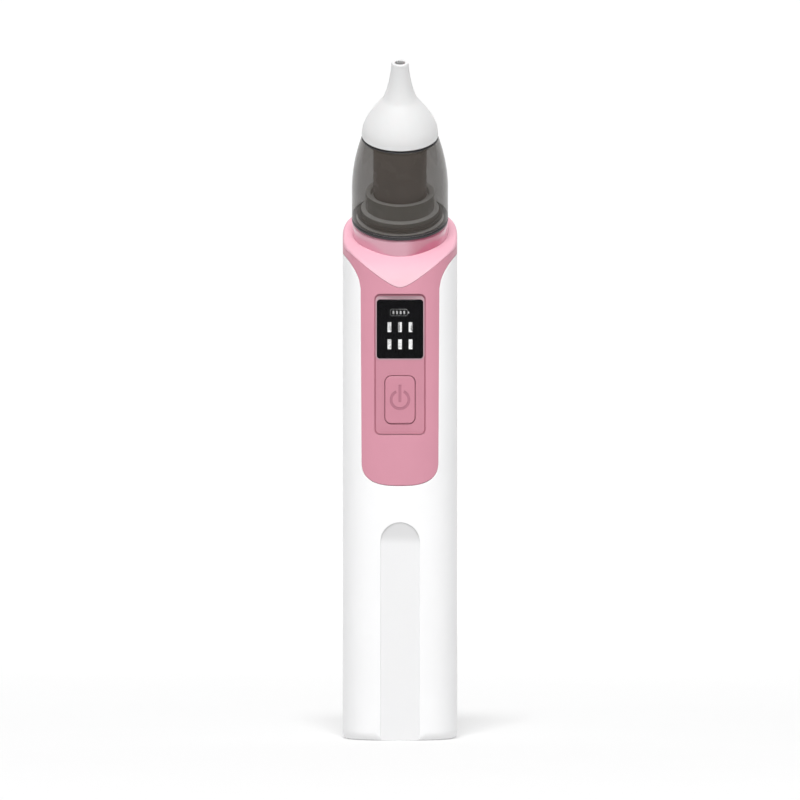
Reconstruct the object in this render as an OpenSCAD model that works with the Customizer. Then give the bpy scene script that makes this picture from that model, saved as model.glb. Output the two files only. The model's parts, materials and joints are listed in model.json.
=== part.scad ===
// Pen-shaped electric nasal aspirator, standing on its base.
// Millimetres. +Z is up, the front panel faces -Y, and the origin is the centre of the base.
// The head (neck, cup and nozzle) leans forward on its own axis; heights along it are
// measured from the point where it meets the body's centre line.

/* [Body] */
// Width of the body
body_w = 30; // [28:0.5:33]
// Depth of the body, front to back
body_d = 28; // [27:0.5:31]
// Squareness of the body's section: 2 is an ellipse
squareness = 2.6; // [2.2:0.1:3]
// Thickness of the housing walls
wall = 1.8; // [1.6:0.1:2]
// Rounding of the bottom edge
foot_round = 1.3; // [0.8:0.1:1.5]

/* [Head] */
// Forward lean of the head
head_tilt = 28; // [24:1:30]
// Height at which the head's axis meets the body's centre line
neck_z = 132.2; // [130:0.1:134]
// Radius of the rounded front edge of the collar
collar_round = 12.2; // [11:0.1:13]
// Outer radius of the neck ring
neck_r = 12.5; // [12:0.1:12.6]
// Outer radius of the collector cup
cup_r = 12.6; // [12.4:0.1:12.8]
// Radius of the inlet tube that hangs in the cup
inlet_r = 7; // [6.8:0.1:7.2]
// Radius of the nozzle's bore at its tip
nozzle_bore_r = 1.3; // [1:0.1:1.4]

/* [Front panel] */
// Width of the straight part of the panel
panel_w = 20.6; // [19:0.2:22]
// Height of the panel's lower edge
panel_z = 66.2; // [64:0.1:67]
// Radius of the panel's lower corners
panel_corner = 5.2; // [4:0.2:6]
// Depth of the recess that holds the window and the button
recess_depth = 0.9; // [0.6:0.1:1]
// Width of the display window
window_w = 12; // [11:0.1:12.4]
// Height of the display window
window_h = 15.3; // [14:0.1:15.5]
// Width of the power button
button_w = 7.75; // [7:0.05:8]
// Height of the power button
button_h = 12.3; // [11:0.1:12.6]
// How far the power button travels
button_travel = 0.4; // [0.2:0.1:0.5]

/* [Grip groove] */
// Width of the groove in the front of the body
groove_w = 10.2; // [8:0.2:11]
// Height of the groove's round top end
groove_top = 56.7; // [50:0.1:60]
// Depth of the groove
groove_depth = 1; // [0.6:0.1:1.1]

/* [Drive and battery] */
// Radius of the motor can
motor_r = 7.5; // [7:0.1:7.5]
// Radius of the battery cell
battery_r = 9; // [8:0.5:9]
// Length of the battery cell
battery_len = 48; // [40:1:48]

/* [Hidden] */
$fn = 64;

half_w = body_w / 2;
half_d = body_d / 2;
section_steps = 72;       // sides of the body's section
seam = 0.1;               // gap along a parting line
eps = 0.01;
far = 60;                 // longer than the body is deep

// The panel's flare and the band behind it
flare_z = 117.5;          // height where the straight sides start to flare
flare_h = 10.2;           // height and reach of the flare's whole curve
flare_reach = 5.6;
flare_power = 1.7;
band_z = flare_z + flare_h * pow((half_w - panel_w / 2) / flare_reach, 1 / flare_power);
panel_bulge = 1;          // how much lower the panel's edge is at the middle
collar_lip = 1.2;         // height of the collar's edge at the side
collar_t = 1.6;           // thickness of the collar under its top face

// Recess, window and button
recess_w = 13.4;
recess_z0 = 79.4;
recess_z1 = 116;
recess_corner = 1.5;
window_corner = 0.85;
window_z = 106.9;
level_rows = [-3.95, 0.5]; // the two rows of level bars, from the window's middle
mark_rise = 4.3;          // the battery mark, from the window's middle
module_w = 12.6;          // the display module behind the window
module_h = 16;
button_z = 88.5;
button_corner = 1.6;
button_gap = 0.25;
flange_w = button_w + 2;  // the button's flange behind the panel
flange_h = button_h + 2;
plunger_y = -10.3;        // front face of the switch's plunger
plunger_len = 1.2;
floor_y = -half_d + recess_depth;
panel_back_y = -half_d + wall;

// Main board
board_front_y = -8.2;
board_t = 1;
board_back_y = board_front_y + board_t;
board_w = 20.4;
board_z0 = 72;
board_z1 = 117.4;
boss_x = 8.6;
boss_z = [75.2, 114.6];

// Pump and motor, on one upright axis
drive_y = 2.1;
motor_z0 = 74;
motor_z1 = 94;
shaft_r = 1;
shaft_top_z = 99;
crank_z = 96.2;
crank_throw = 1.6;
crank_pin_r = 0.8;
case_top_z = 103;
diaphragm_t = 1;
valve_t = 2;
cover_z = case_top_z + diaphragm_t + valve_t;
cover_top_z = cover_z + 5;
pump_half = 8;
pump_corner_r = 9.6;
pump_screw_xy = 6.1;
pump_hole_r = 0.75;
screw_r = 0.6;
outlet_y = -1;            // the pump's outlet, in front of the inlet's barb
hose_r = 3.5;
hose_bore_r = 2.65;

// Battery bay
battery_z0 = 18;
shelf_t = 1.2;
bay_top_z = battery_z0 + battery_len + 2;
chassis_z0 = 9.5;
chassis_z1 = 116;
chassis_t = 1.1;
port_y = 5.5;             // the charging port lies behind the middle of the base
socket_w = 8.94;
socket_h = 3.26;
wire_y = -6.4;            // battery and motor wires rise to the board here
wire_top_z = 76;
charge_wire_x = 8.3;
charge_wire_y = -6.5;

// Heights along the head's axis
rim_s = 3.95;             // under the cup's base
rim_t = 0.75;
cup_s0 = rim_s + rim_t + 0.1;
cup_straight_s = 12.5;    // the cup's wall is upright to here
cup_top_s = 28;
cup_top_r = 9.9;
cup_wall = 1.3;
step_s = 7.6;             // top and radius of the base's wide step
step_r = 10.2;
ring_s = 12.2;            // top and radius of the base's narrow step
ring_r = 9;
inlet_s0 = 11.3;
inlet_bore_r = 4.6;
spigot_r = 6;             // the cup's hole, the inlet tube's spigot and the nozzle's socket
spigot_top_s = 34;
nozzle_s0 = 28.1;
nozzle_tip_s = 49.2;
neck_top_s = 9.2;         // top of the spigot that the cup plugs onto
neck_seal_s = 5.2;
neck_seal_r = 8.2;
o_ring_wire = 0.5;

// ---- Shared outlines ----

function spow(v, p) = sign(v) * pow(abs(v), p);

// The body's section: a superellipse, drawn smaller by the inset
function section_points(inset) = [for (i = [0 : section_steps - 1])
    let (t = i * 360 / section_steps)
    [(half_w - inset) * spow(cos(t), 2 / squareness),
     (half_d - inset) * spow(sin(t), 2 / squareness)]];
module section(inset = 0) polygon(section_points(inset));

// How far the front face lies from the centre plane at a distance x from the middle
function section_y(x) = half_d * pow(max(0, 1 - pow(abs(x) / half_w, squareness)), 1 / squareness);

// The collar's top face: a plane across the head's axis that rolls over into the front
facet_y = -half_d - 0.004 + collar_round;
facet_z = neck_z + facet_y * tan(head_tilt) - collar_round / cos(head_tilt);
function plane_z(y) = neck_z + y * tan(head_tilt);
function top_z(y) = y > facet_y - collar_round * sin(head_tilt)
    ? plane_z(y)
    : facet_z + sqrt(max(0, pow(collar_round, 2) - pow(y - facet_y, 2)));

// Everything below the collar's top face, or below a face that lies deeper by the drop
module under_top(drop = 0)
    along_x(far) polygon(concat(
        [[far / 2, plane_z(far / 2) - drop / cos(head_tilt)]],
        [for (i = [0 : 12])
            let (a = 90 + head_tilt + i * (90 - head_tilt) / 12)
            [facet_y + (collar_round - drop) * cos(a), facet_z + (collar_round - drop) * sin(a)]],
        [[-far / 2, facet_z], [-far / 2, -5], [far / 2, -5]]));

// A YZ outline pulled along X, and an XZ outline pulled towards the front
module along_x(len) rotate([90, 0, 90]) linear_extrude(len, center = true) children();
module to_front(y0, y1) translate([0, y1, 0]) rotate([90, 0, 0]) linear_extrude(y1 - y0) children();

module rounded_rect(w, h, r) offset(r) square([w - 2 * r, h - 2 * r], center = true);

// A cylinder on the head's axis from height s0 to height s1
module on_head() translate([0, 0, neck_z]) rotate([head_tilt, 0, 0]) children();
module tube(s0, s1, r) translate([0, 0, s0]) cylinder(h = s1 - s0, r = r);
module ring(s0, s1, r_out, r_in) difference() {
    tube(s0, s1, r_out);
    tube(s0 - 1, s1 + 1, r_in);
}
module o_ring(s, r, wire) translate([0, 0, s]) rotate_extrude() translate([r, 0]) circle(wire, $fn = 24);

// ---- Housing ----

// Outline of the tie-shaped panel, seen from the front
module panel_outline(grow = 0) {
    hw = panel_w / 2 + grow;
    r = panel_corner + grow;
    right = concat(
        [[0, panel_z - grow]],
        [for (a = [-90 : 15 : 0]) [hw - r + r * cos(a), panel_z + panel_bulge + panel_corner + r * sin(a)]],
        [for (u = [0 : 0.1 : 1.01])
            [hw + flare_reach * pow(u, flare_power), flare_z + flare_h * u - grow]],
        [[hw + flare_reach, 160]]);
    left = [for (i = [len(right) - 1 : -1 : 1]) [-right[i][0], right[i][1]]];
    polygon(concat(right, left));
}

// The space that the panel and the band behind it fill
module panel_region(grow = 0) {
    to_front(-far / 2, eps) panel_outline(grow);
    along_x(far) polygon([
        [0, band_z - grow],
        [far / 2, band_z - grow + far / 2 * tan(head_tilt)],
        [far / 2, 170],
        [0, 170]]);
}

// The space above the line where the collar meets the panel
module collar_region(grow = 0) {
    to_front(-far / 2, eps) polygon(concat(
        [for (i = [-16 : 16])
            let (x = half_w * i / 16)
            [x, top_z(-section_y(x)) - collar_lip * pow(abs(i) / 16, 4) - grow]],
        [[half_w + 2, neck_z - collar_lip - grow], [half_w + 2, 170],
         [-half_w - 2, 170], [-half_w - 2, neck_z - collar_lip - grow]]));
    along_x(far) polygon([
        [0, neck_z - collar_lip - grow],
        [far / 2, plane_z(far / 2) - collar_lip - grow],
        [far / 2, 170],
        [0, 170]]);
}

module collar() color([0.98, 0.76, 0.83]) difference() {
    intersection() {
        linear_extrude(160) section();
        under_top();
        collar_region();
    }
    intersection() {
        linear_extrude(160) section(wall);
        under_top(collar_t);
    }
    on_head() tube(-6, 6, 10);
}

module front_panel() color([0.86, 0.6, 0.66]) {
    difference() {
        intersection() {
            linear_extrude(160) section();
            under_top();
            panel_region();
        }
        translate([0, 0, -1]) linear_extrude(170) section(wall);
        collar_region(seam);
        to_front(-far / 2, floor_y) translate([0, (recess_z0 + recess_z1) / 2])
            rounded_rect(recess_w, recess_z1 - recess_z0, recess_corner);
        to_front(-far / 2, 0) translate([0, window_z])
            rounded_rect(window_w + 2 * seam, window_h + 2 * seam, window_corner + seam);
        to_front(-far / 2, 0) translate([0, button_z])
            rounded_rect(button_w + 2 * button_gap, button_h + 2 * button_gap, button_corner + button_gap);
        // flat lands behind the window and the button
        to_front(panel_back_y, 0) {
            translate([0, window_z]) square([module_w + 0.4, module_h + 0.4], center = true);
            translate([0, button_z]) square([flange_w + 0.6, flange_h + 0.6], center = true);
        }
    }
    for (x = [-boss_x, boss_x], z = boss_z) board_boss(x, z);
}

module board_boss(x, z) translate([x, board_front_y, z]) rotate([90, 0, 0]) difference() {
    cylinder(h = section_y(x) - wall / 2 + board_front_y, r = 1.6);
    translate([0, 0, -1]) cylinder(h = 3.8, r = 0.8);
}

// The sleeve's outside: the section carried up from a rounded foot, as [height, inset] levels
module sleeve_outside() {
    steps = 4;
    levels = concat(
        [for (i = [0 : steps]) let (a = 90 * i / steps)
            [foot_round * (1 - cos(a)), foot_round * (1 - sin(a))]],
        [[145, 0]]);
    n = section_steps;
    top = (len(levels) - 1) * n;
    polyhedron(
        [for (l = levels, p = section_points(l[1])) [p[0], p[1], l[0]]],
        concat(
            [[for (j = [0 : n - 1]) j]],
            [for (k = [0 : n : top - n], j = [0 : n - 1])
                let (m = (j + 1) % n) [k + j, k + n + j, k + m]],
            [for (k = [0 : n : top - n], j = [0 : n - 1])
                let (m = (j + 1) % n) [k + m, k + n + j, k + n + m]],
            [[for (j = [n - 1 : -1 : 0]) top + j]]),
        convexity = 4);
}

module body_sleeve() color([0.97, 0.97, 0.97]) difference() {
    union() {
        difference() {
            sleeve_outside();
            translate([0, 0, -1]) linear_extrude(170) section(wall);
        }
        // thicker wall behind the groove
        translate([-groove_w / 2 - 1.2, -half_d + wall - 0.5, 10])
            cube([groove_w + 2.4, 1.4, groove_top - 8.5]);
    }
    panel_region(seam);
    to_front(-far / 2, -half_d + groove_depth) groove_outline();
    for (z = [100 : 4 : 108]) translate([-4, 5, z]) cube([8, 15, 1.4]);
}

module groove_outline() {
    r = groove_w / 2;
    translate([-r, -2]) square([groove_w, groove_top - r + 2]);
    translate([0, groove_top - r]) circle(r);
}

module base_cap() color([0.93, 0.93, 0.93]) difference() {
    linear_extrude(9) section(wall + seam);
    translate([0, 0, 3]) linear_extrude(10) section(wall + 1.4);
    translate([0, port_y, -1]) socket_shell(socket_w + 0.46, socket_h + 0.54, 6);
}

// ---- Display and button ----

module display_window() color([0.03, 0.03, 0.035])
    to_front(floor_y - 0.15, panel_back_y) translate([0, window_z])
        rounded_rect(window_w, window_h, window_corner);

module display_module() color([0.12, 0.12, 0.13])
    to_front(panel_back_y + 0.15, board_front_y) translate([0, window_z])
        square([module_w, module_h], center = true);

// Lit segments between the module and the window: a battery mark with four bars,
// and two rows of three level bars
module display_segments() color([0.95, 0.97, 0.97]) to_front(panel_back_y, panel_back_y + 0.15) {
    for (row = level_rows, x = [-2.75, 0, 2.75]) translate([x, window_z + row])
        square([1, 2.6], center = true);
    translate([-0.3, window_z + mark_rise]) {
        for (i = [-1.5 : 1.5]) translate([0.94 * i, 0]) square([0.45, 0.9], center = true);
        difference() {
            rounded_rect(4.6, 1.9, 0.35);
            rounded_rect(4.2, 1.5, 0.2);
        }
        translate([2.5, 0]) square([0.35, 0.8], center = true);
    }
}

module power_button() color([0.82, 0.56, 0.63]) {
    difference() {
        to_front(floor_y - 0.3, panel_back_y + 0.1) translate([0, button_z])
            rounded_rect(button_w, button_h, button_corner);
        to_front(floor_y - 1, floor_y - 0.1) translate([0, button_z]) power_mark();
    }
    to_front(panel_back_y + 0.1, panel_back_y + 0.7) translate([0, button_z])
        square([flange_w, flange_h], center = true);
    to_front(panel_back_y + 0.7, plunger_y) translate([0, button_z]) circle(1.5);
}

// The usual power mark: an open ring with an upright bar
module power_mark() {
    difference() {
        circle(2.8);
        circle(2.35);
        translate([-1.07, 0]) square([2.14, 4]);
    }
    translate([-0.22, -0.6]) square([0.44, 4.5]);
}

module switch_plunger() color([0.15, 0.15, 0.16])
    to_front(plunger_y, plunger_y + plunger_len) translate([0, button_z]) circle(1.6);

module tact_switch() color([0.6, 0.62, 0.64]) difference() {
    to_front(plunger_y + 0.6, board_front_y) translate([0, button_z]) square([6, 6], center = true);
    to_front(plunger_y, plunger_y + plunger_len + button_travel + 0.1) translate([0, button_z]) circle(1.75);
}

module main_board() color([0.1, 0.42, 0.25]) difference() {
    to_front(board_front_y, board_back_y) translate([-board_w / 2, board_z0])
        square([board_w, board_z1 - board_z0]);
    for (x = [-boss_x, boss_x], z = boss_z) translate([x, 0, z]) rotate([90, 0, 0])
        cylinder(h = 20, r = 0.9);
}

module board_chips() color([0.1, 0.1, 0.11]) to_front(board_back_y, board_back_y + 0.9) {
    translate([0, 100]) square([5, 5], center = true);
    translate([-6, 91]) square([3, 3.4], center = true);
    translate([5.6, 92]) square([3, 1.8], center = true);
    translate([5.6, 86]) square([3, 1.8], center = true);
    for (i = [0 : 3]) translate([-7 + 1.8 * i, 82]) square([0.8, 1.6], center = true);
}

module board_screws() color([0.72, 0.73, 0.75])
    for (x = [-boss_x, boss_x], z = boss_z) translate([x, board_back_y, z]) rotate([90, 0, 0]) {
        cylinder(h = 2.6, r = screw_r);
        translate([0, 0, -0.9]) cylinder(h = 0.9, r = 1.4);
    }

// ---- Head ----

// One point of a cubic curve with four control points
function bezier(p, u) = pow(1 - u, 3) * p[0] + 3 * u * pow(1 - u, 2) * p[1]
    + 3 * u * u * (1 - u) * p[2] + pow(u, 3) * p[3];

// The soft nozzle: a shoulder that bulges out from the cup, then a slim hollow tip
module silicone_nozzle() color([0.97, 0.97, 0.97]) on_head() difference() {
    base_r = cup_top_r - 0.05;
    shoulder = [[base_r, nozzle_s0], [base_r, 32], [8, 34.7], [4.83, 38.5]];
    tip = [[4.83, 38.5], [3.64, 39.9], [2.33, 45.4], [2.23, nozzle_tip_s]];
    rotate_extrude() polygon(concat(
        [[0, nozzle_s0]],
        [for (u = [0 : 0.1 : 0.95]) bezier(shoulder, u)],
        [for (u = [0 : 0.1 : 1.01]) bezier(tip, u)],
        [[0, nozzle_tip_s]]));
    tube(nozzle_s0 - 1, spigot_top_s + 0.3, spigot_r);
    translate([0, 0, spigot_top_s + 0.3 - eps]) cylinder(h = 4.5, r1 = 4.6, r2 = nozzle_bore_r);
    tube(36, nozzle_tip_s + 1, nozzle_bore_r);
}

// The cup's wall bends in along an arc that starts upright
cup_arc_r = (pow(cup_top_s - cup_straight_s, 2) + pow(cup_r - cup_top_r, 2)) / (2 * (cup_r - cup_top_r));
function cup_wall_r(s) = cup_r - cup_arc_r
    + sqrt(pow(cup_arc_r, 2) - pow(max(0, s - cup_straight_s), 2));

module collector_cup() color([0.42, 0.42, 0.41], 0.6) on_head() difference() {
    steps = 8;
    arc_s = [for (i = [0 : steps]) cup_straight_s + (cup_top_s - cup_straight_s) * i / steps];
    rotate_extrude() polygon(concat(
        [[0, cup_s0], [cup_r, cup_s0]],
        [for (s = arc_s) [cup_wall_r(s), s]],
        [[0, cup_top_s]]));
    rotate_extrude() polygon(concat(
        [[0, cup_s0 - 1], [cup_r - cup_wall, cup_s0 - 1]],
        [for (s = arc_s) if (s < cup_top_s - cup_wall) [cup_wall_r(s) - cup_wall, s]],
        [[cup_top_r - cup_wall + 0.3, cup_top_s - cup_wall], [0, cup_top_s - cup_wall]]));
    tube(20, 40, spigot_r);
}

// Carries the nozzle on its spigot and leads what is drawn in down into the cup
module inlet_tube() color([0.3, 0.29, 0.28], 0.9) on_head() difference() {
    union() {
        tube(inlet_s0, cup_top_s - cup_wall, inlet_r);
        tube(20, spigot_top_s, spigot_r - 0.05);
    }
    tube(0, 40, inlet_bore_r);
}

// The stepped plug that closes the cup and keeps fluid out of the air way
module cup_base() color([0.3, 0.3, 0.3], 0.9) on_head() difference() {
    union() {
        tube(rim_s, rim_s + rim_t, cup_r);
        tube(rim_s, step_s, step_r);
        tube(rim_s, ring_s, ring_r);
    }
    tube(rim_s - 1, 7, 8.8);
    tube(rim_s - 1, 9.5, 7.6);
    tube(ring_s - 2, ring_s + 1, 7.7);
    // air holes at the sides and the back
    for (a = [0 : 90 : 180]) rotate([0, 0, a]) translate([5, 0, 8.5]) rotate([0, 90, 0])
        cylinder(h = 6, r = 0.7);
}

module cup_seal() color([0.2, 0.2, 0.2]) on_head() o_ring(5.9, 10.7, o_ring_wire);

module neck_ring() color([0.86, 0.74, 0.78]) on_head() difference() {
    rotate_extrude() polygon([
        [0, 0], [neck_r, 0], [neck_r, 3.2], [neck_r - 0.2, 3.6], [neck_r - 0.8, 3.75], [0, 3.75]]);
    tube(-1, 6, 9.9);
}

// The air way that the cup plugs onto: a spigot above the collar, a flange and a hose barb below
module neck_socket() color([0.88, 0.88, 0.88]) on_head() difference() {
    union() {
        tube(-3.5, -1.85, 10.8);
        tube(-2, 3.6, 9.8);
        tube(2, 6.7, 8.4);
        tube(6, neck_top_s, 7.2);
        tube(-9, -3, 2.6);
    }
    tube(neck_top_s - 2, neck_top_s + 1, 5.6);
    tube(-10, 8, 1.5);
    o_ring(neck_seal_s, neck_seal_r, o_ring_wire + 0.02);
}

module neck_seal() color([0.2, 0.2, 0.2]) on_head() o_ring(neck_seal_s, neck_seal_r, o_ring_wire);

module air_filter() color([0.9, 0.9, 0.86]) on_head() tube(neck_top_s - 2, neck_top_s - 0.1, 5.5);

// ---- Pump and motor ----

module on_drive() translate([0, drive_y, 0]) children();

// The square pump stack with its corners trimmed round
module pump_block(z0, z1) intersection() {
    translate([-pump_half, -pump_half, z0]) cube([2 * pump_half, 2 * pump_half, z1 - z0]);
    tube(z0 - 1, z1 + 1, pump_corner_r);
}

module pump_screw_holes() for (x = [-1, 1], y = [-1, 1])
    translate([x * pump_screw_xy, y * pump_screw_xy, case_top_z - 6])
        cylinder(h = 20, r = pump_hole_r, $fn = 24);

// Where the hose meets the pump
hose_bend_r = 14;
hose_bend_s = -9.5;
hose_y = -hose_bend_s * sin(head_tilt) + hose_bend_r * (1 - cos(head_tilt));
hose_bend_z = neck_z + hose_bend_s * cos(head_tilt) - hose_bend_r * sin(head_tilt);

module pump_cover() color([0.15, 0.15, 0.16]) difference() {
    union() {
        on_drive() pump_block(cover_z, cover_top_z);
        translate([0, hose_y, cover_top_z - 1]) cylinder(h = 6, r = 2);
        translate([0, outlet_y, cover_top_z - 1]) cylinder(h = 4, r = 1.5);
    }
    on_drive() pump_screw_holes();
    translate([0, hose_y, cover_z + 1.5]) cylinder(h = 20, r = 1.1);
    translate([0, outlet_y, cover_z + 1.5]) cylinder(h = 20, r = 0.8);
    // one chamber under each barb
    for (y = [hose_y, outlet_y]) translate([-3, y - 1.5, cover_z - 1]) cube([6, 3, 3]);
}

module valve_plate() color([0.85, 0.85, 0.82]) on_drive() difference() {
    pump_block(cover_z - valve_t, cover_z);
    pump_screw_holes();
    for (y = [-3.6, 3.4]) translate([0, y, 0]) cylinder(h = 120, r = 0.8, $fn = 24);
}

module pump_diaphragm() color([0.2, 0.2, 0.21]) on_drive() difference() {
    union() {
        pump_block(case_top_z, case_top_z + diaphragm_t);
        for (a = [90 : 120 : 330]) rotate([0, 0, a]) translate([4, 0, case_top_z - 0.2])
            cylinder(h = 0.5, r = 1.4);
    }
    pump_screw_holes();
}

// The plate that the crank rocks; the hollow under it leaves the crank pin's whole circle free
module pump_rocker() color([0.9, 0.9, 0.88]) on_drive() difference() {
    union() {
        tube(case_top_z - 1.1, case_top_z - 0.2, 5.8);
        tube(crank_z + 3.4, case_top_z - 0.2, 4);
    }
    tube(crank_z + 3.3, case_top_z - 1, 3);
}

module pump_case() color([0.15, 0.15, 0.16]) on_drive() difference() {
    pump_block(motor_z1 + 0.1, case_top_z);
    tube(motor_z1 + 1.4, case_top_z + 1, 6.6);
    tube(motor_z1 - 1, motor_z1 + 3, 2.8);
    pump_screw_holes();
}

module pump_screws() color([0.72, 0.73, 0.75]) on_drive() for (x = [-1, 1], y = [-1, 1])
    translate([x * pump_screw_xy, y * pump_screw_xy, 0]) {
        translate([0, 0, case_top_z - 5]) cylinder(h = cover_top_z - case_top_z + 5, r = screw_r);
        translate([0, 0, cover_top_z]) cylinder(h = 0.8, r = 1.2);
    }

module pump_crank() color([0.93, 0.93, 0.9]) on_drive() difference() {
    union() {
        tube(crank_z, crank_z + 3, 4);
        translate([crank_throw, 0, crank_z + 2]) cylinder(h = 3, r = crank_pin_r);
    }
    tube(crank_z - 1, crank_z + 2.9, shaft_r);
}

module motor_shaft() color([0.78, 0.79, 0.8]) on_drive() tube(71.6, shaft_top_z, shaft_r);

module motor_rotor() color([0.72, 0.42, 0.2]) on_drive() difference() {
    union() {
        for (a = [0 : 120 : 240]) rotate([0, 0, a]) translate([1, -2.1, 79]) cube([4.2, 4.2, 11]);
        tube(76, 91, 2);
    }
    tube(70, 95, shaft_r);
}

module motor_can() color([0.72, 0.73, 0.74]) on_drive() difference() {
    tube(motor_z0, motor_z1, motor_r);
    tube(motor_z0 - 1, motor_z1 - 0.8, motor_r - 0.7);
    tube(motor_z1 - 2, motor_z1 + 1, 2.45);
}

module motor_magnets() color([0.25, 0.25, 0.27]) on_drive() for (a = [0, 180]) rotate([0, 0, a])
    translate([0, 0, 78]) rotate_extrude(angle = 140, start = 20) translate([5.7, 0]) square([1, 13]);

module motor_bushings() color([0.75, 0.6, 0.35]) on_drive() {
    ring(motor_z1 - 2, motor_z1 + 0.6, 2.4, shaft_r + 0.05);
    ring(71.8, 73.8, 2.4, shaft_r + 0.05);
}

module motor_end_bell() color([0.2, 0.2, 0.22]) on_drive() difference() {
    union() {
        tube(71, motor_z0, motor_r - 0.1);
        tube(motor_z0 - 1, motor_z0 + 1.5, motor_r - 0.8);
    }
    tube(71.5, motor_z0 + 3, 2.45);
    tube(motor_z0 - 0.5, motor_z0 + 3, 5.5);
}

module motor_sleeve() color([0.3, 0.3, 0.32]) on_drive() ring(75.5, 92, motor_r + 0.7, motor_r + 0.02);

// Straight over the pump's barb, round the bend, and straight over the neck's barb:
// stations along the hose as [y, z, lean]
hose_sides = 24;
hose_stations = concat(
    [[hose_y, cover_top_z + 0.3, 0]],
    [for (i = [0 : 5]) let (a = head_tilt * i / 5)
        [hose_y - hose_bend_r * (1 - cos(a)), hose_bend_z + hose_bend_r * sin(a), a]],
    [[4.2 * sin(head_tilt), neck_z - 4.2 * cos(head_tilt), head_tilt]]);

function hose_rings(r) = [for (st = hose_stations, j = [0 : hose_sides - 1])
    let (b = j * 360 / hose_sides)
    [r * cos(b), st[0] + r * sin(b) * cos(st[2]), st[1] + r * sin(b) * sin(st[2])]];

module suction_hose() color([0.85, 0.87, 0.88]) {
    n = hose_sides;
    last = (len(hose_stations) - 1) * n;
    inner = len(hose_stations) * n;
    walls = [for (k = [0 : n : last - n], j = [0 : n - 1])
        let (m = (j + 1) % n) [k + j, k + m, k + n + m, k + n + j]];
    ends = [for (j = [0 : n - 1]) let (m = (j + 1) % n) [j, m, inner + m, inner + j]];
    polyhedron(
        concat(hose_rings(hose_r), hose_rings(hose_bore_r)),
        concat(
            [for (f = walls) [f[3], f[2], f[1], f[0]]],
            [for (f = walls) [for (v = f) v + inner]],
            ends,
            [for (f = ends) [for (i = [3 : -1 : 0]) f[i] + last]]),
        convexity = 4);
}

// ---- Chassis, battery and charging ----

module chassis() color([0.8, 0.8, 0.82]) difference() {
    union() {
        intersection() {
            translate([0, 0, chassis_z0]) linear_extrude(chassis_z1 - chassis_z0) difference() {
                section(wall + 0.15);
                section(wall + chassis_t);
            }
            translate([-far / 2, 3, 0]) cube([far, far, 200]);
        }
        shelf(battery_z0 - 0.2 - shelf_t, -9);
        shelf(bay_top_z - shelf_t, -5);
    }
    translate([-5, 5, 98.5]) cube([10, 15, 12.4]);
    for (s = [-1, 1]) translate([s * charge_wire_x, charge_wire_y, 0]) cylinder(h = 30, r = 1.2, $fn = 24);
}

module shelf(z, y_front) intersection() {
    translate([0, 0, z]) linear_extrude(shelf_t) section(wall + chassis_t - eps);
    translate([-far / 2, y_front, 0]) cube([far, far, 200]);
}

module battery_cell() color([0.25, 0.45, 0.7]) {
    tube(battery_z0, battery_z0 + battery_len - 0.8, battery_r);
    tube(battery_z0 + battery_len - 1, battery_z0 + battery_len, 3);
}

module battery_pad() color([0.35, 0.35, 0.37])
    translate([-5, -11.2, 28]) cube([10, 2.1, 26]);

module wire_pair(x, y_in, y_out, z_in, z_out, r = 0.5) for (s = [-1, 1]) translate([s * x, 0, 0]) {
    translate([0, y_out, z_in]) rotate([-90, 0, 0]) cylinder(h = y_in - y_out, r = r, $fn = 16);
    translate([0, y_out, z_in]) sphere(r, $fn = 16);
    translate([0, y_out, z_in]) cylinder(h = z_out - z_in, r = r, $fn = 16);
}

module battery_wires() color([0.75, 0.15, 0.12])
    wire_pair(3.4, -2.5, wire_y, battery_z0 + battery_len - 0.2, wire_top_z);

module motor_wires() color([0.15, 0.2, 0.6])
    wire_pair(5.6, 1, wire_y, 70.4, wire_top_z);

module charging_wires() color([0.15, 0.15, 0.16]) for (s = [-1, 1])
    translate([s * charge_wire_x, charge_wire_y, 9.2]) cylinder(h = 64, r = 0.5, $fn = 16);

module charging_board() color([0.1, 0.42, 0.25]) translate([-8.8, -7.4, 8.1]) cube([17.6, 15.6, 1.1]);

module charging_socket() color([0.75, 0.76, 0.78]) translate([0, port_y, 0]) {
    difference() {
        translate([0, 0, 0.8]) socket_shell(socket_w, socket_h, 7.3);
        translate([0, 0, -0.2]) socket_shell(socket_w - 0.6, socket_h - 0.6, 7.3);
    }
    translate([-3.3, -0.35, 1.6]) cube([6.6, 0.7, 6]);
}

module socket_shell(w, h, len) linear_extrude(len) {
    square([w - h, h], center = true);
    for (x = [-1, 1]) translate([x * (w - h) / 2, 0]) circle(h / 2);
}

silicone_nozzle();
collector_cup();
inlet_tube();
cup_base();
cup_seal();
neck_ring();
neck_socket();
neck_seal();
air_filter();
collar();
front_panel();
body_sleeve();
base_cap();
display_window();
display_module();
display_segments();
power_button();
switch_plunger();
tact_switch();
main_board();
board_chips();
board_screws();
suction_hose();
pump_cover();
valve_plate();
pump_diaphragm();
pump_rocker();
pump_case();
pump_screws();
pump_crank();
motor_shaft();
motor_rotor();
motor_can();
motor_magnets();
motor_bushings();
motor_end_bell();
motor_sleeve();
chassis();
battery_cell();
battery_pad();
battery_wires();
motor_wires();
charging_wires();
charging_board();
charging_socket();
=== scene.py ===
"""Nasal aspirator: the looks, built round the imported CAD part.

Metres, in the frame of the CAD: +Z is up, the front panel faces -Y, and the origin is the centre of
the base. The housing's visible pieces are closed meshes built from outlines on the unrolled body, and
the head's pieces are turned profiles on its leaning axis. Pieces inside keep their CAD shape.
"""

import json
from collections import namedtuple
from math import acos, atan2, ceil, cos, pi, radians, sin, sqrt, tan

import bpy
import numpy as np
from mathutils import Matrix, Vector
from mathutils.geometry import delaunay_2d_cdt


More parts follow.
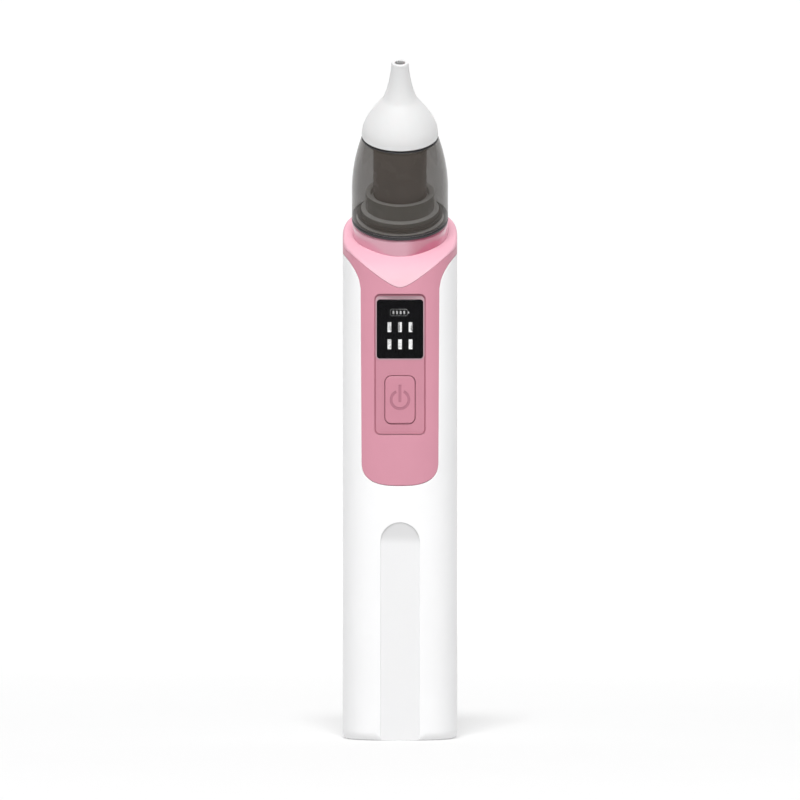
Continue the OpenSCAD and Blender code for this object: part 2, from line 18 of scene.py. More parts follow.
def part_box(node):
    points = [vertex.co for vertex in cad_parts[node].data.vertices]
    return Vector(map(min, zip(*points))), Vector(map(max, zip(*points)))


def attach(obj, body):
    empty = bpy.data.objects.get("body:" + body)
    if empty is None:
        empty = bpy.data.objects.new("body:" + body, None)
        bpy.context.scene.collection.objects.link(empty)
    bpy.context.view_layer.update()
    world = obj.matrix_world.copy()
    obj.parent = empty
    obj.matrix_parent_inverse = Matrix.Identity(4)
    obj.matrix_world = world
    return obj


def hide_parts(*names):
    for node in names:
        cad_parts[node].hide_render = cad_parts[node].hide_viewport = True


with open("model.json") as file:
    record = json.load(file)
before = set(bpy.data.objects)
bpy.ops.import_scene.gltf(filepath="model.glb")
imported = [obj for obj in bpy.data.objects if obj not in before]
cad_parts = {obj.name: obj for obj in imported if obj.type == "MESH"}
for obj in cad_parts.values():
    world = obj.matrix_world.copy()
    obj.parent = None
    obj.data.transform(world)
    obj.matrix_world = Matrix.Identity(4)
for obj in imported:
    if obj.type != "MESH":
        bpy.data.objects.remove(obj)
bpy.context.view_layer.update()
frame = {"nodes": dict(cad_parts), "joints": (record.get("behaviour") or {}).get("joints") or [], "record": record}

MM = 0.001

# ---- Sizes and places: from the frame where it has them, and otherwise in millimetres ----

sleeve_lo, sleeve_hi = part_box("body_sleeve")
window_lo, window_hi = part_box("display_window")
button_lo, button_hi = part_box("power_button")

HALF_W = sleeve_hi.x
HALF_D = -sleeve_lo.y
SQUARENESS = 2.6  # exponent of the body's superellipse section
WALL = 1.8 * MM
FOOT_R = 1.3 * MM
SEAM = 0.09 * MM  # gap along a parting line
EDGE_R = 0.22 * MM  # rounding of the housing's moulded edges
FINE_EDGE_R = 0.12 * MM

joint_axes = {joint["name"]: Vector(joint["axis"]) for joint in frame["joints"]}
HEAD_AXIS = joint_axes["nozzle_pull"].normalized()
TILT = atan2(-HEAD_AXIS.y, HEAD_AXIS.z)
inlet = next(Vector(m["pos_m"]) for m in frame["record"]["mounts"] if m["name"] == "nozzle_inlet")
NECK_Z = inlet.z - inlet.y * HEAD_AXIS.z / HEAD_AXIS.y

# The collar's top face: a plane across the head's axis that rolls over into the front
COLLAR_ROUND = 12.2 * MM
CLEAR_OF_EDGE = 0.004 * MM  # keeps the roll's start a hair outside the body
ROLL_Y = -HALF_D - CLEAR_OF_EDGE + COLLAR_ROUND
ROLL_Z = NECK_Z + ROLL_Y * tan(TILT) - COLLAR_ROUND / cos(TILT)
ROLL_END_Y = ROLL_Y - COLLAR_ROUND * sin(TILT)
ROLL_LENGTH = COLLAR_ROUND * (pi / 2 - TILT)
COLLAR_LIP = 1.2 * MM
COLLAR_T = 1.6 * MM
COLLAR_EDGE_R = 0.9 * MM
NECK_HOLE_R = 9.95 * MM

# The tie-shaped panel
PANEL_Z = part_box("front_panel")[0].z
PANEL_HALF = 10.3 * MM
PANEL_TAPER = 0.25 * MM  # how much narrower the straight part is at its lower end
PANEL_CORNER_H = 6.6 * MM
PANEL_CORNER_POWER = 2.7
FLARE_Z = 117.5 * MM
FLARE_H = 10.2 * MM
FLARE_POWER = 1.7
FLARE_REACH = 5.6 * MM
BACK_BLEND = 2 * MM

RECESS_W = 13.4 * MM
RECESS_Z0 = 79.4 * MM
RECESS_Z1 = 116 * MM
RECESS_R = 1.5 * MM
RECESS_BEVEL = 0.3 * MM
RECESS_EDGE_R = 0.09 * MM
RECESS_GAP = 0.16 * MM  # fine line round the recess
RECESS_GAP_DEPTH = 0.3 * MM  # below the recess's floor
FLOOR_Y = -HALF_D + 0.9 * MM
BACK_Y = window_hi.y

GROOVE_HALF = 5.1 * MM
GROOVE_TOP = 56.7 * MM
GROOVE_DEPTH = 1 * MM
GROOVE_RAMP = 4.6 * MM  # length of the slope at the groove's top end
GROOVE_RAMP_START = 0.2 * MM  # depth of the slope at the groove's top edge
GROOVE_RAMP_BULGE = 0.12

SLOT_LENGTH = 8 * MM  # exhaust slots in the back
SLOT_H = 1.4 * MM
SLOT_R = 0.63 * MM
SLOT_Z = [z * MM for z in (100.7, 104.7, 108.7)]
SLOT_EDGE_R = 0.15 * MM

WINDOW_W = window_hi.x - window_lo.x
WINDOW_H = window_hi.z - window_lo.z
WINDOW_Z = (window_lo.z + window_hi.z) / 2
WINDOW_R = 0.85 * MM
STEM_R = 1.5 * MM  # the stem behind the button
BUTTON_FLANGE = 1 * MM
BUTTON_R = 1.6 * MM
BUTTON_GAP = 0.16 * MM
MARK_R = 2.32 * MM
MARK_GAP = radians(24.6)  # half the opening of the power mark's ring
MARK_STEM = (-0.6 * MM, 3.9 * MM)  # the bar's ends, from the ring's middle
MARK_STROKE = 0.72 * MM
MARK_DEPTH = 0.1 * MM

FORWARD = (0, -1, 0)
BACKWARD = (0, 1, 0)
DOWN = (0, 0, -1)

Ring = namedtuple("Ring", "index normal")


# ---- Small geometry helpers ----


def unit(v):
    return v / np.maximum(np.linalg.norm(v, axis=1, keepdims=True), 1e-12)


def spow(v, p):
    return np.sign(v) * np.abs(v) ** p


def column(v, n):
    """A number or a row of numbers as one column of n numbers."""
    return np.broadcast_to(np.asarray(v, float).reshape(-1, 1), (n, 1))


def columns(*parts):
    return np.column_stack(parts)


def join(*parts):
    return np.concatenate(parts)


def around(angles):
    return columns(np.cos(angles), np.sin(angles))


def subdivide(loop, step):
    """Adds points to a closed outline, so that none of its sides is longer than the step."""
    out = []
    for a, b in zip(loop, np.roll(loop, -1, 0)):
        n = max(1, ceil(np.linalg.norm(b - a) / step))
        out += [a + (b - a) * i / n for i in range(n)]
    return np.array(out)


def rounded_rect(w, h, r, centre=(0, 0), step=1 * MM, corner_steps=8):
    """Counter-clockwise outline of a rectangle with round corners."""
    parts = []
    for quarter, (sx, sy) in enumerate([(1, -1), (1, 1), (-1, 1), (-1, -1)]):
        turn = (quarter - 1) * pi / 2 + np.linspace(0, pi / 2, corner_steps + 1)
        parts.append(np.array([sx * (w / 2 - r), sy * (h / 2 - r)]) + r * around(turn))
    return subdivide(np.concatenate(parts) + np.array(centre), step)


def repeat(vector, n):
    """One direction for each of n points."""
    return np.tile(np.array(vector, float), (n, 1))


def at_y(xz, y):
    """Points (x, z) of the front placed at the depth y."""
    return columns(xz[:, 0], np.broadcast_to(y, len(xz)), xz[:, 1])


def away(loop, period=(0, 0)):
    """For each point of an outline with the material on its left, the direction out of the material.
    It is longer at a corner, so that sides moved along it stay parallel."""
    before = np.roll(loop, 1, 0)
    after = np.roll(loop, -1, 0)
    before[0] -= period
    after[-1] += period
    d1 = unit(loop - before)
    d2 = unit(after - loop)
    n1 = columns(d1[:, 1], -d1[:, 0])
    n2 = columns(d2[:, 1], -d2[:, 0])
    total = n1 + n2
    return total / np.maximum((total * n1).sum(1, keepdims=True), 0.5)


def inside(points, loops):
    """Which points lie inside an odd number of the closed outlines."""
    odd = np.zeros(len(points), bool)
    for loop in loops:
        for a, b in zip(loop, np.roll(loop, -1, 0)):
            if a[1] == b[1]:
                continue
            span = (a[1] > points[:, 1]) != (b[1] > points[:, 1])
            cross = a[0] + (points[:, 1] - a[1]) * (b[0] - a[0]) / (b[1] - a[1])
            odd ^= span & (points[:, 0] < cross)
    return odd


def clear_of(points, loops, gap):
    """Which points are farther than the gap from every side of the outlines."""
    ok = np.ones(len(points), bool)
    for loop in loops:
        for a, b in zip(loop, np.roll(loop, -1, 0)):
            side = b - a
            t = np.clip((points - a) @ side / max(side @ side, 1e-18), 0, 1)
            ok &= np.linalg.norm(points - a - t[:, None] * side, axis=1) > gap
    return ok


class Solid:
    """A closed mesh in the making. Each face corner keeps its own normal, so that curved stretches
    shade smoothly and edges stay crisp."""

    def __init__(self):
        self.points = np.zeros((0, 3))
        self.faces = []
        self.normals = []
        self.parts = []

    def ring(self, points, normals):
        index = np.arange(len(self.points), len(self.points) + len(points))
        self.points = join(self.points, points)
        return Ring(index, normals)

    def face(self, index, normal, part=0):
        self.faces.append([int(i) for i in index])
        self.normals.extend(normal)
        self.parts.append(part)

    def bridge(self, a, b, part=0):
        """Quads from ring a to ring b, which lies on the right of a's direction of travel."""
        n = len(a.index)
        for i in range(n):
            j = (i + 1) % n
            self.face(
                [a.index[i], b.index[i], b.index[j], a.index[j]],
                [a.normal[i], b.normal[i], b.normal[j], a.normal[j]],
                part,
            )

    def fill(self, loops, rings, place, step, flip=False, part=0):
        """Triangles over the area of a face inside its outlines, with a grid of points between them."""
        flat = np.concatenate(loops)
        index = join(*[r.index for r in rings])
        edges = []
        start = 0
        for loop in loops:
            n = len(loop)
            edges += [(start + i, start + (i + 1) % n) for i in range(n)]
            start += n
        steps = np.broadcast_to(step, 2)
        axes = [np.arange(lo + s / 2, hi, s) for lo, hi, s in zip(flat.min(0), flat.max(0), steps)]
        grid = np.stack(np.meshgrid(*axes), -1).reshape(-1, 2)
        grid = grid[inside(grid, loops)]
        grid = grid[clear_of(grid, loops, 0.4 * min(steps))]
        if len(grid):
            index = join(index, self.ring(*place(grid)).index)
        places = join(flat, grid)
        normal = place(places)[1]
        points = [Vector(p) for p in places * (1 / MM)]
        found = delaunay_2d_cdt(points, edges, [], 0, 1e-6, True)
        source = [ids[0] for ids in found[3]]
        triangles = np.array([[source[i] for i in t] for t in found[2]])
        triangles = triangles[inside(places[triangles].mean(1), loops)]
        for t in triangles:
            t = t[::-1] if flip else t
            self.face(index[t], normal[t], part)

    def rim(self, side, loop, radius, period=(0, 0), steps=4, part=0):
        """Rounds the edge along an outline of a surface. Returns the outline where the flat part
        ends, its ring, and the ring where the wall starts."""
        n = len(loop)
        radius = column(radius, n)
        out = away(loop, period)
        inset = loop - out * radius
        flat_point, flat_normal = side(inset)
        corner, _ = side(loop)
        wall_point, _ = side(loop, radius[:, 0])
        nudge = out * 0.01 * MM
        wall_normal = unit(side(loop + nudge)[0] - side(loop - nudge)[0])
        rings = []
        for t in np.linspace(0, 1, steps + 1):
            point = (1 - t) ** 2 * flat_point + 2 * t * (1 - t) * corner + t**2 * wall_point
            a = t * pi / 2
            rings.append(self.ring(point, unit(cos(a) * flat_normal + sin(a) * wall_normal)))
        for a, b in zip(rings, rings[1:]):
            self.bridge(a, b, part)
        return inset, rings[0], rings[-1]

    def wall(self, start, points, normals=None, part=0):
        """A straight wall from a ring to new points. Returns the ring at its far end."""
        end = self.ring(points, start.normal if normals is None else normals)
        self.bridge(Ring(start.index, end.normal), end, part)
        return end

    def make(self, name, body, materials, replaced=()):
        mesh = bpy.data.meshes.new(name)
        mesh.from_pydata(self.points.tolist(), [], self.faces)
        mesh.polygons.foreach_set("use_smooth", [True] * len(self.faces))
        mesh.polygons.foreach_set("material_index", self.parts)
        for material in materials:
            mesh.materials.append(material)
        mesh.normals_split_custom_set([tuple(n) for n in self.normals])
        mesh.validate()
        piece = add_object(name, mesh)
        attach(piece, body)
        if replaced:
            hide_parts(*replaced)


def add_object(name, data):
    added = bpy.data.objects.new(name, data)
    bpy.context.scene.collection.objects.link(added)
    return added


def facing(ring, normal):
    """The same ring with one other normal, for the face on the far side of a sharp edge."""
    return Ring(ring.index, np.broadcast_to(np.asarray(normal, float), (len(ring.index), 3)))


# ---- The body's side, unrolled ----

turn = np.linspace(-pi, pi, 4001)
table_x = HALF_W * spow(np.sin(turn), 2 / SQUARENESS)
table_y = -HALF_D * spow(np.cos(turn), 2 / SQUARENESS)
table_u = join([0], np.cumsum(np.hypot(np.diff(table_x), np.diff(table_y))))
GIRTH = table_u[-1]
table_u = table_u - GIRTH / 2
front = np.abs(turn) <= pi / 2
FOOT_V0 = FOOT_R * (1 - pi / 2)


def section(u):
    """Point and outward direction of the body's section at a distance u round it from the front."""
    u = (np.asarray(u) + GIRTH / 2) % GIRTH - GIRTH / 2
    x = np.interp(u, table_u, table_x)
    y = np.interp(u, table_u, table_y)
    nx = spow(x / HALF_W, SQUARENESS - 1) / HALF_W
    ny = spow(y / HALF_D, SQUARENESS - 1) / HALF_D
    return columns(x, y), unit(columns(nx, ny))


def u_at(x, depth=0):
    """Distance round the section to a point of the front, or of a face that lies deeper."""
    point, out = section(table_u[front])
    return np.interp(x, (point - out * depth)[:, 0], table_u[front])


def body_side(uv, depth=0):
    """The side and its rounded foot. Above the foot v is the height."""
    point, out = section(uv[:, 0])
    v = uv[:, 1]
    a = np.clip((v - FOOT_V0) / FOOT_R, 0, pi / 2)
    sink = FOOT_R * (1 - np.sin(a)) + depth * np.sin(a)
    z = np.where(v < FOOT_R, FOOT_R * (1 - np.cos(a)), v) + depth * np.cos(a)
    at = columns(point - out * sink[:, None], z)
    return at, columns(out * np.sin(a)[:, None], -np.cos(a))


def flat_front(y):
    """A flat face that looks to the front from the plane at y, with (x, z) as its coordinates."""

    def side(xz, depth=0):
        return at_y(xz, y + depth), repeat(FORWARD, len(xz))

    return side


def flat_back(y):
    """A flat face that looks to the back."""
    return lambda xz: (at_y(xz, y), repeat(BACKWARD, len(xz)))


def inner_face(uv):
    """The straight inner side of the housing's wall."""
    point, out = section(uv[:, 0])
    return columns(point - out * WALL, uv[:, 1]), columns(-out, np.zeros(len(uv)))


def round_body(right_half):
    """A line round the body from its right half, given from the middle of the front to the middle
    of the back. It starts at the left side, where the unrolled body is cut open."""
    side_u = GIRTH / 4 + 1e-9
    u = right_half[:, 0]
    near = right_half[(u <= side_u) & (u > 0)][::-1] * [-1, 1]
    near[0, 0] = -GIRTH / 4
    far = right_half[(u > side_u) & (u < GIRTH / 2)][::-1] * [-1, 1] + [GIRTH, 0]
    return join(near, right_half, far)


def cut_open(solid, low, low_ring, high, high_ring, side, step):
    """One outline round the unrolled body between two lines round it, and its ring."""
    period = np.array([GIRTH, 0])
    start, end = low[0], np.array([low[0, 0], high[0, 1]])
    n = max(2, ceil((end[1] - start[1]) / step))
    cut = np.linspace(start, end, n + 1)[1:-1]
    seam = solid.ring(*side(cut + period)).index
    loop = join(low, low[:1] + period, cut + period, high, [end], cut[::-1])
    low_index, high_index = low_ring.index, high_ring.index
    index = join(low_index, low_index[:1], seam, high_index, high_index[:1], seam[::-1])
    return loop, Ring(index, side(loop)[1])


def reversed_round(line):
    """A line round the body, run the other way, from the right-hand end of the cut."""
    return join(line[:1] + [GIRTH, 0], line[:0:-1])


ROUND = (GIRTH, 0)
ROUND_REVERSED = (-GIRTH, 0)
SIDE_U = GIRTH / 4


# ---- The lines that divide the housing ----


def roll_z(y, drop=0):
    """Height of the collar's top face, or of a face that lies deeper by the drop."""
    plane = NECK_Z + y * tan(TILT) - drop / cos(TILT)
    radius = COLLAR_ROUND - drop
    rolled = ROLL_Z + np.sqrt(np.maximum(0, radius**2 - (y - ROLL_Y) ** 2))
    return np.where(y > ROLL_Y - radius * sin(TILT), plane, rolled)


def collar_edge_z(u):
    """Height of the edge of the collar's top face."""
    return roll_z(section(u)[0][:, 1])


def collar_low_z(u):
    """Height of the collar's lower edge: a lip that grows from the V's tip to the sides."""
    point = section(u)[0]
    lip = np.where(point[:, 1] < 0, (np.abs(point[:, 0]) / HALF_W) ** 4, 1)
    return collar_edge_z(u) - COLLAR_LIP * lip


def panel_low_line():
    """The panel's lower edge from its middle to the middle of the back, as (u, z)."""
    foot_half = PANEL_HALF - PANEL_TAPER
    a = np.linspace(0, pi / 2, 25)
    corner_x = foot_half * np.sin(a) ** (2 / PANEL_CORNER_POWER)
    corner_z = PANEL_Z + PANEL_CORNER_H * (1 - np.cos(a) ** (2 / PANEL_CORNER_POWER))
    side_z = np.linspace(PANEL_Z + PANEL_CORNER_H, FLARE_Z, 36)[1:]
    side_x = np.interp(side_z, [side_z[0], FLARE_Z], [foot_half, PANEL_HALF])
    flare_u = np.linspace(u_at(PANEL_HALF), SIDE_U, 29)[1:]
    flare_x = section(flare_u)[0][:, 0]
    flare_z = FLARE_Z + FLARE_H * ((flare_x - PANEL_HALF) / FLARE_REACH) ** (1 / FLARE_POWER)
    back_u = np.linspace(SIDE_U, GIRTH / 2, 33)[1:]
    back_y = section(back_u)[0][:, 1]
    rise = np.sqrt(back_y**2 + BACK_BLEND**2) - BACK_BLEND
    back_z = flare_z[-1] + rise * tan(TILT)
    u = join(u_at(corner_x), u_at(side_x), flare_u, back_u)
    return columns(u, join(corner_z, side_z, flare_z, back_z))


def panel_high_line():
    u = join(np.linspace(0, SIDE_U, 49), np.linspace(SIDE_U, GIRTH / 2, 33)[1:])
    return columns(u, collar_low_z(u) - SEAM)


# ---- Housing ----


def slot_outline(z):
    return rounded_rect(SLOT_LENGTH, SLOT_H, SLOT_R, (GIRTH / 2, z))[::-1]


def groove_y(z):
    """Where the groove's floor lies: flat, with a slope up to its top end."""
    t = np.clip((GROOVE_TOP - z) / GROOVE_RAMP, 0, 1)
    ease = t + GROOVE_RAMP_BULGE * np.sin(pi * t) * t
    return -HALF_D + GROOVE_RAMP_START + (GROOVE_DEPTH - GROOVE_RAMP_START) * ease


def groove_outline():
    """The groove's edge on the unrolled body. Its lower end lies where the rounded foot meets the
    groove's floor."""
    half_u = u_at(GROOVE_HALF)
    top_z = GROOVE_TOP - GROOVE_HALF
    a = np.linspace(0, pi, 33)
    arc = columns(u_at(GROOVE_HALF * np.cos(a)), top_z + GROOVE_HALF * np.sin(a))
    side_z = np.linspace(FOOT_R, top_z, 50)[:-1]
    right = columns(np.full(len(side_z), half_u), side_z)
    foot_u = np.linspace(-half_u, half_u, 13)
    point, out = section(foot_u)
    sink = (point[:, 1] - groove_y(0)) / out[:, 1]
    foot_v = FOOT_V0 + FOOT_R * np.arcsin(1 - sink / FOOT_R)
    foot = columns(foot_u, foot_v)
    return join(foot, right, arc[1:-1], (right * [-1, 1])[::-1])[::-1]


def make_sleeve(material, groove_material):
    solid = Solid()
    low = round_body(columns(np.linspace(0, GIRTH / 2, 81), np.full(81, FOOT_V0)))
    high = reversed_round(round_body(panel_low_line() - [0, SEAM]))
    slots = [slot_outline(z) for z in SLOT_Z]
    groove = groove_outline()

    foot = solid.ring(*body_side(low))
    high_in, high_flat, high_wall = solid.rim(body_side, high, EDGE_R, ROUND_REVERSED)
    high_inner = solid.wall(high_wall, body_side(high, WALL)[0])
    outline, outline_ring = cut_open(solid, low, foot, high_in, high_flat, body_side, 1 * MM)
    slot_rims = [solid.rim(body_side, loop, SLOT_EDGE_R) for loop in slots]
    slot_inner = [solid.wall(rim[2], body_side(loop, WALL)[0]) for rim, loop in zip(slot_rims, slots)]

    corner = body_side(groove)[0]
    surface_y = corner[:, 1]
    floor_y = groove_y(corner[:, 2])
    step_down = np.maximum(floor_y - surface_y, 0)
    groove_in, groove_flat, groove_wall = solid.rim(body_side, groove, np.minimum(EDGE_R, 0.4 * step_down))
    floor_xz = corner[:, [0, 2]]
    floor_ring = solid.wall(groove_wall, at_y(floor_xz, np.maximum(floor_y, surface_y)))

    def groove_floor(xz):
        z = xz[:, 1]
        nudge = 0.05 * MM
        rise = (groove_y(z + nudge) - groove_y(z - nudge)) / (2 * nudge)
        normal = unit(columns(np.zeros(len(xz)), -np.ones(len(xz)), rise))
        return at_y(xz, groove_y(z)), normal

    solid.fill([floor_xz], [floor_ring], groove_floor, 1.2 * MM, part=1)
    solid.fill(
        [outline, groove_in] + [rim[0] for rim in slot_rims],
        [outline_ring, groove_flat] + [rim[1] for rim in slot_rims],
        body_side, (1 * MM, 2 * MM),
    )

    inner_low = columns(low[:, 0], np.zeros(len(low)))
    under = solid.wall(foot, inner_face(inner_low)[0], repeat(DOWN, len(low)))
    outline, outline_ring = cut_open(solid, inner_low, under, high, high_inner, inner_face, 8 * MM)
    solid.fill([outline] + slots, [outline_ring] + slot_inner, inner_face, (2 * MM, 6 * MM), flip=True)
    solid.make("sleeve", "housing", [material, groove_material], ["body_sleeve"])


def make_panel(material, recess_material, bevel_material):
    solid = Solid()
    low = round_body(panel_low_line())
    high = reversed_round(round_body(panel_high_line()))
    low_in, low_flat, low_wall = solid.rim(body_side, low, EDGE_R, ROUND)
    high_in, high_flat, high_wall = solid.rim(body_side, high, 0.08 * MM, ROUND_REVERSED)
    low_inner = solid.wall(low_wall, body_side(low, WALL)[0])
    high_inner = solid.wall(high_wall, body_side(high, WALL)[0])

    centre = (0, (RECESS_Z0 + RECESS_Z1) / 2)
    size = (RECESS_W, RECESS_Z1 - RECESS_Z0)
    edge_xz = rounded_rect(*size, RECESS_R, centre)[::-1]
    edge = columns(u_at(edge_xz[:, 0]), edge_xz[:, 1])
    edge_in, edge_flat, edge_wall = solid.rim(body_side, edge, RECESS_EDGE_R)
    gap_in = edge_xz + away(edge_xz) * RECESS_GAP
    gap_y = FLOOR_Y + RECESS_GAP_DEPTH
    gap_outer = solid.wall(edge_wall, at_y(edge_xz, gap_y))
    gap_inner = solid.wall(facing(gap_outer, FORWARD), at_y(gap_in, gap_y))
    lean = unit(at_y(-away(edge_xz), 0))
    slope_top_y = np.maximum(body_side(edge)[0][:, 1] + 0.12 * MM, -HALF_D + 0.45 * MM)
    slope_top = at_y(gap_in, np.minimum(slope_top_y, FLOOR_Y - 0.02 * MM))
    slope = solid.wall(facing(gap_inner, lean), slope_top, lean, part=1)
    floor_xz = gap_in + away(edge_xz) * RECESS_BEVEL
    # The bevel takes the third, darker material: painted shade round the recess.
    bevel_normal = unit(-lean * 0.7 + np.array([0, -1.0, 0]))
    floor_ring = solid.wall(facing(slope, bevel_normal), at_y(floor_xz, FLOOR_Y), bevel_normal, part=2)

    window_xz = rounded_rect(WINDOW_W + 2 * SEAM, WINDOW_H + 2 * SEAM, WINDOW_R, (0, WINDOW_Z))[::-1]
    spread = 2 * (BUTTON_GAP - BUTTON_FLANGE)
    button_size = (button_hi.x - button_lo.x + spread, button_hi.z - button_lo.z + spread)
    button_middle = (0, (button_lo.z + button_hi.z) / 2)
    button_xz = rounded_rect(*button_size, BUTTON_R + BUTTON_GAP, button_middle)[::-1]
    openings = []
    for xz, land in ((window_xz, 0.3 * MM), (button_xz, 1.1 * MM)):
        opening_in, opening_flat, opening_wall = solid.rim(flat_front(FLOOR_Y), xz, FINE_EDGE_R, part=1)
        opening_back = solid.wall(opening_wall, at_y(xz, BACK_Y), part=1)
        land_xz = xz - away(xz) * land
        land_edge = solid.wall(opening_back, at_y(land_xz, BACK_Y), repeat(BACKWARD, len(xz)))
        inner_uv = columns(u_at(land_xz[:, 0], WALL), land_xz[:, 1])
        toward = at_y(away(xz), 0)
        inner = solid.wall(facing(land_edge, toward), body_side(inner_uv, WALL)[0], toward)
        openings.append((opening_in, opening_flat, inner_uv, inner))
    solid.fill(
        [floor_xz] + [o[0] for o in openings],
        [floor_ring] + [o[1] for o in openings],
        flat_front(FLOOR_Y), 1.5 * MM, part=1,
    )
    outline, outline_ring = cut_open(solid, low_in, low_flat, high_in, high_flat, body_side, 1.5 * MM)
    solid.fill([outline, edge_in], [outline_ring, edge_flat], body_side, (1 * MM, 1.5 * MM))
    outline, outline_ring = cut_open(solid, low, low_inner, high, high_inner, inner_face, 3 * MM)
    solid.fill(
        [outline] + [o[2] for o in openings],
        [outline_ring] + [o[3] for o in openings],
        inner_face, (2 * MM, 3 * MM), flip=True,
    )
    materials = [material, recess_material, bevel_material]
    solid.make("tie_panel", "housing", materials, ["front_panel"])


def collar_top(xw, depth=0):
    """The collar's top face, with w as the distance up its profile from the front."""
    w = xw[:, 1]
    a = pi - np.minimum(w, ROLL_LENGTH) / COLLAR_ROUND
    on_plane = np.maximum(w - ROLL_LENGTH, 0)
    normal = columns(np.zeros(len(w)), np.cos(a), np.sin(a))
    y = ROLL_Y + COLLAR_ROUND * np.cos(a) + on_plane * cos(TILT)
    z = ROLL_Z + COLLAR_ROUND * np.sin(a) + on_plane * sin(TILT)
    return columns(xw[:, 0], y, z) - normal * np.reshape(depth, (-1, 1)), normal


def collar_w(y):
    """Distance up the collar's profile to a place y."""
    rolled = COLLAR_ROUND * (pi - np.arccos(np.clip((y - ROLL_Y) / COLLAR_ROUND, -1, 1)))
    plane = ROLL_LENGTH + (y - ROLL_END_Y) / cos(TILT)
    return np.where(y > ROLL_END_Y, plane, rolled)


def make_collar(material):
    solid = Solid()
    u = join(np.linspace(-SIDE_U, SIDE_U, 145), np.linspace(SIDE_U, 3 * SIDE_U, 97)[1:-1])
    point, out = section(u)
    edge_z = collar_edge_z(u)
    low_z = collar_low_z(u)
    radius = np.minimum(COLLAR_EDGE_R, 0.75 * (edge_z - low_z))[:, None]
    loop = columns(point[:, 0], collar_w(point[:, 1]))
    outward = columns(out, np.zeros(len(u)))
    inset = loop - away(loop) * radius * 1.3
    top_point, top_normal = collar_top(inset)
    corner = columns(point, edge_z)
    side_point = columns(point, edge_z - radius[:, 0])
    rings = []
    for t in np.linspace(0, 1, 7):
        at = (1 - t) ** 2 * top_point + 2 * t * (1 - t) * corner + t**2 * side_point
        rings.append(solid.ring(at, unit((1 - t) * top_normal + t * outward)))
    for a, b in zip(rings, rings[1:]):
        solid.bridge(a, b)
    lip = solid.wall(rings[-1], columns(point, low_z))
    inner_point = point - out * WALL
    under_z = roll_z(inner_point[:, 1], COLLAR_T)
    inner_low = columns(inner_point, np.minimum(low_z, under_z - 0.2 * MM))
    bottom = solid.wall(lip, inner_low, repeat(DOWN, len(u)))
    under = solid.wall(bottom, columns(inner_point, under_z), -outward)

    a = np.linspace(0, -2 * pi, 65)[:-1]
    hole = NECK_HOLE_R * around(a) + [0, collar_w(0)]
    hole_in, hole_flat, hole_wall = solid.rim(collar_top, hole, 0.2 * MM)
    hole_y = NECK_HOLE_R * np.sin(a) * cos(TILT) + COLLAR_T * sin(TILT)
    hole_xy = columns(NECK_HOLE_R * np.cos(a), hole_y)

    def under_face(xy):
        at = columns(xy, roll_z(xy[:, 1], COLLAR_T))
        lean = np.clip((xy[:, 1] - ROLL_Y) / (COLLAR_ROUND - COLLAR_T), -1, -sin(TILT))
        return at, columns(np.zeros(len(xy)), -lean, -np.sqrt(1 - lean**2))

    hole_under = solid.wall(hole_wall, under_face(hole_xy)[0])
    solid.fill([inset, hole_in], [rings[0], hole_flat], collar_top, 1 * MM)
    solid.fill([inner_point, hole_xy], [under, hole_under], under_face, 2 * MM, flip=True)
    solid.make("collar_top", "housing", [material], ["collar"])


# ---- Flat pieces of the front ----


def add_plate(solid, outline, y_front, y_back, radius, holes=(), hole_depth=0, hole_part=0):
    """A flat piece that looks to the front, with rounded edges and shallow engraved shapes."""
    side = flat_front(y_front)
    front_in, front_flat, front_wall = solid.rim(side, outline, radius)
    back = solid.wall(front_wall, at_y(outline, y_back))
    loops, rings = [front_in], [front_flat]
    for hole in holes:
        hole_in, hole_flat, hole_wall = solid.rim(side, hole, 0.04 * MM, steps=2)
        floor = solid.wall(hole_wall, at_y(hole, y_front + hole_depth), part=hole_part)
        solid.fill([hole], [floor], flat_front(y_front + hole_depth), 5 * MM, part=hole_part)
        loops.append(hole_in)
        rings.append(hole_flat)
    solid.fill(loops, rings, side, 1 * MM)
    solid.fill([outline], [back], flat_back(y_back), 4 * MM, flip=True)


def add_frame(solid, outer, inner, y_front, y_back, part=0):
    """A flat frame between two outlines."""
    side = flat_front(y_front)
    rims, backs = [], []
    for loop in (outer, inner):
        rims.append(solid.rim(side, loop, 0.02 * MM, steps=2, part=part))
        backs.append(solid.wall(rims[-1][2], at_y(loop, y_back), part=part))
    solid.fill([rim[0] for rim in rims], [rim[1] for rim in rims], side, 5 * MM, part=part)
    solid.fill([outer, inner], backs, flat_back(y_back), 5 * MM, flip=True, part=part)


def make_window(material):
    solid = Solid()
    outline = rounded_rect(WINDOW_W, WINDOW_H, WINDOW_R, (0, WINDOW_Z))
    add_plate(solid, outline, window_lo.y, window_hi.y, 0.25 * MM)
    solid.make("window_lens", "housing", [material], ["display_window"])


def make_window_trim(material):
    """A thin pale frame on the recess's floor, wider above the window."""
    solid = Solid()
    side, above, gap, proud = 0.36 * MM, 0.95 * MM, 0.05 * MM, 0.06 * MM
    inner = rounded_rect(WINDOW_W + 2 * gap, WINDOW_H + 2 * gap, WINDOW_R, (0, WINDOW_Z))[::-1]
    middle = (0, WINDOW_Z + (above - side) / 2)
    outer = rounded_rect(WINDOW_W + 2 * side, WINDOW_H + side + above, WINDOW_R + side, middle)
    add_frame(solid, outer, inner, FLOOR_Y - proud, FLOOR_Y + gap)
    solid.make("window_trim", "housing", [material])


def bar(w, h, x, z, r):
    return rounded_rect(w, h, r, (x, z), step=2 * MM, corner_steps=3)


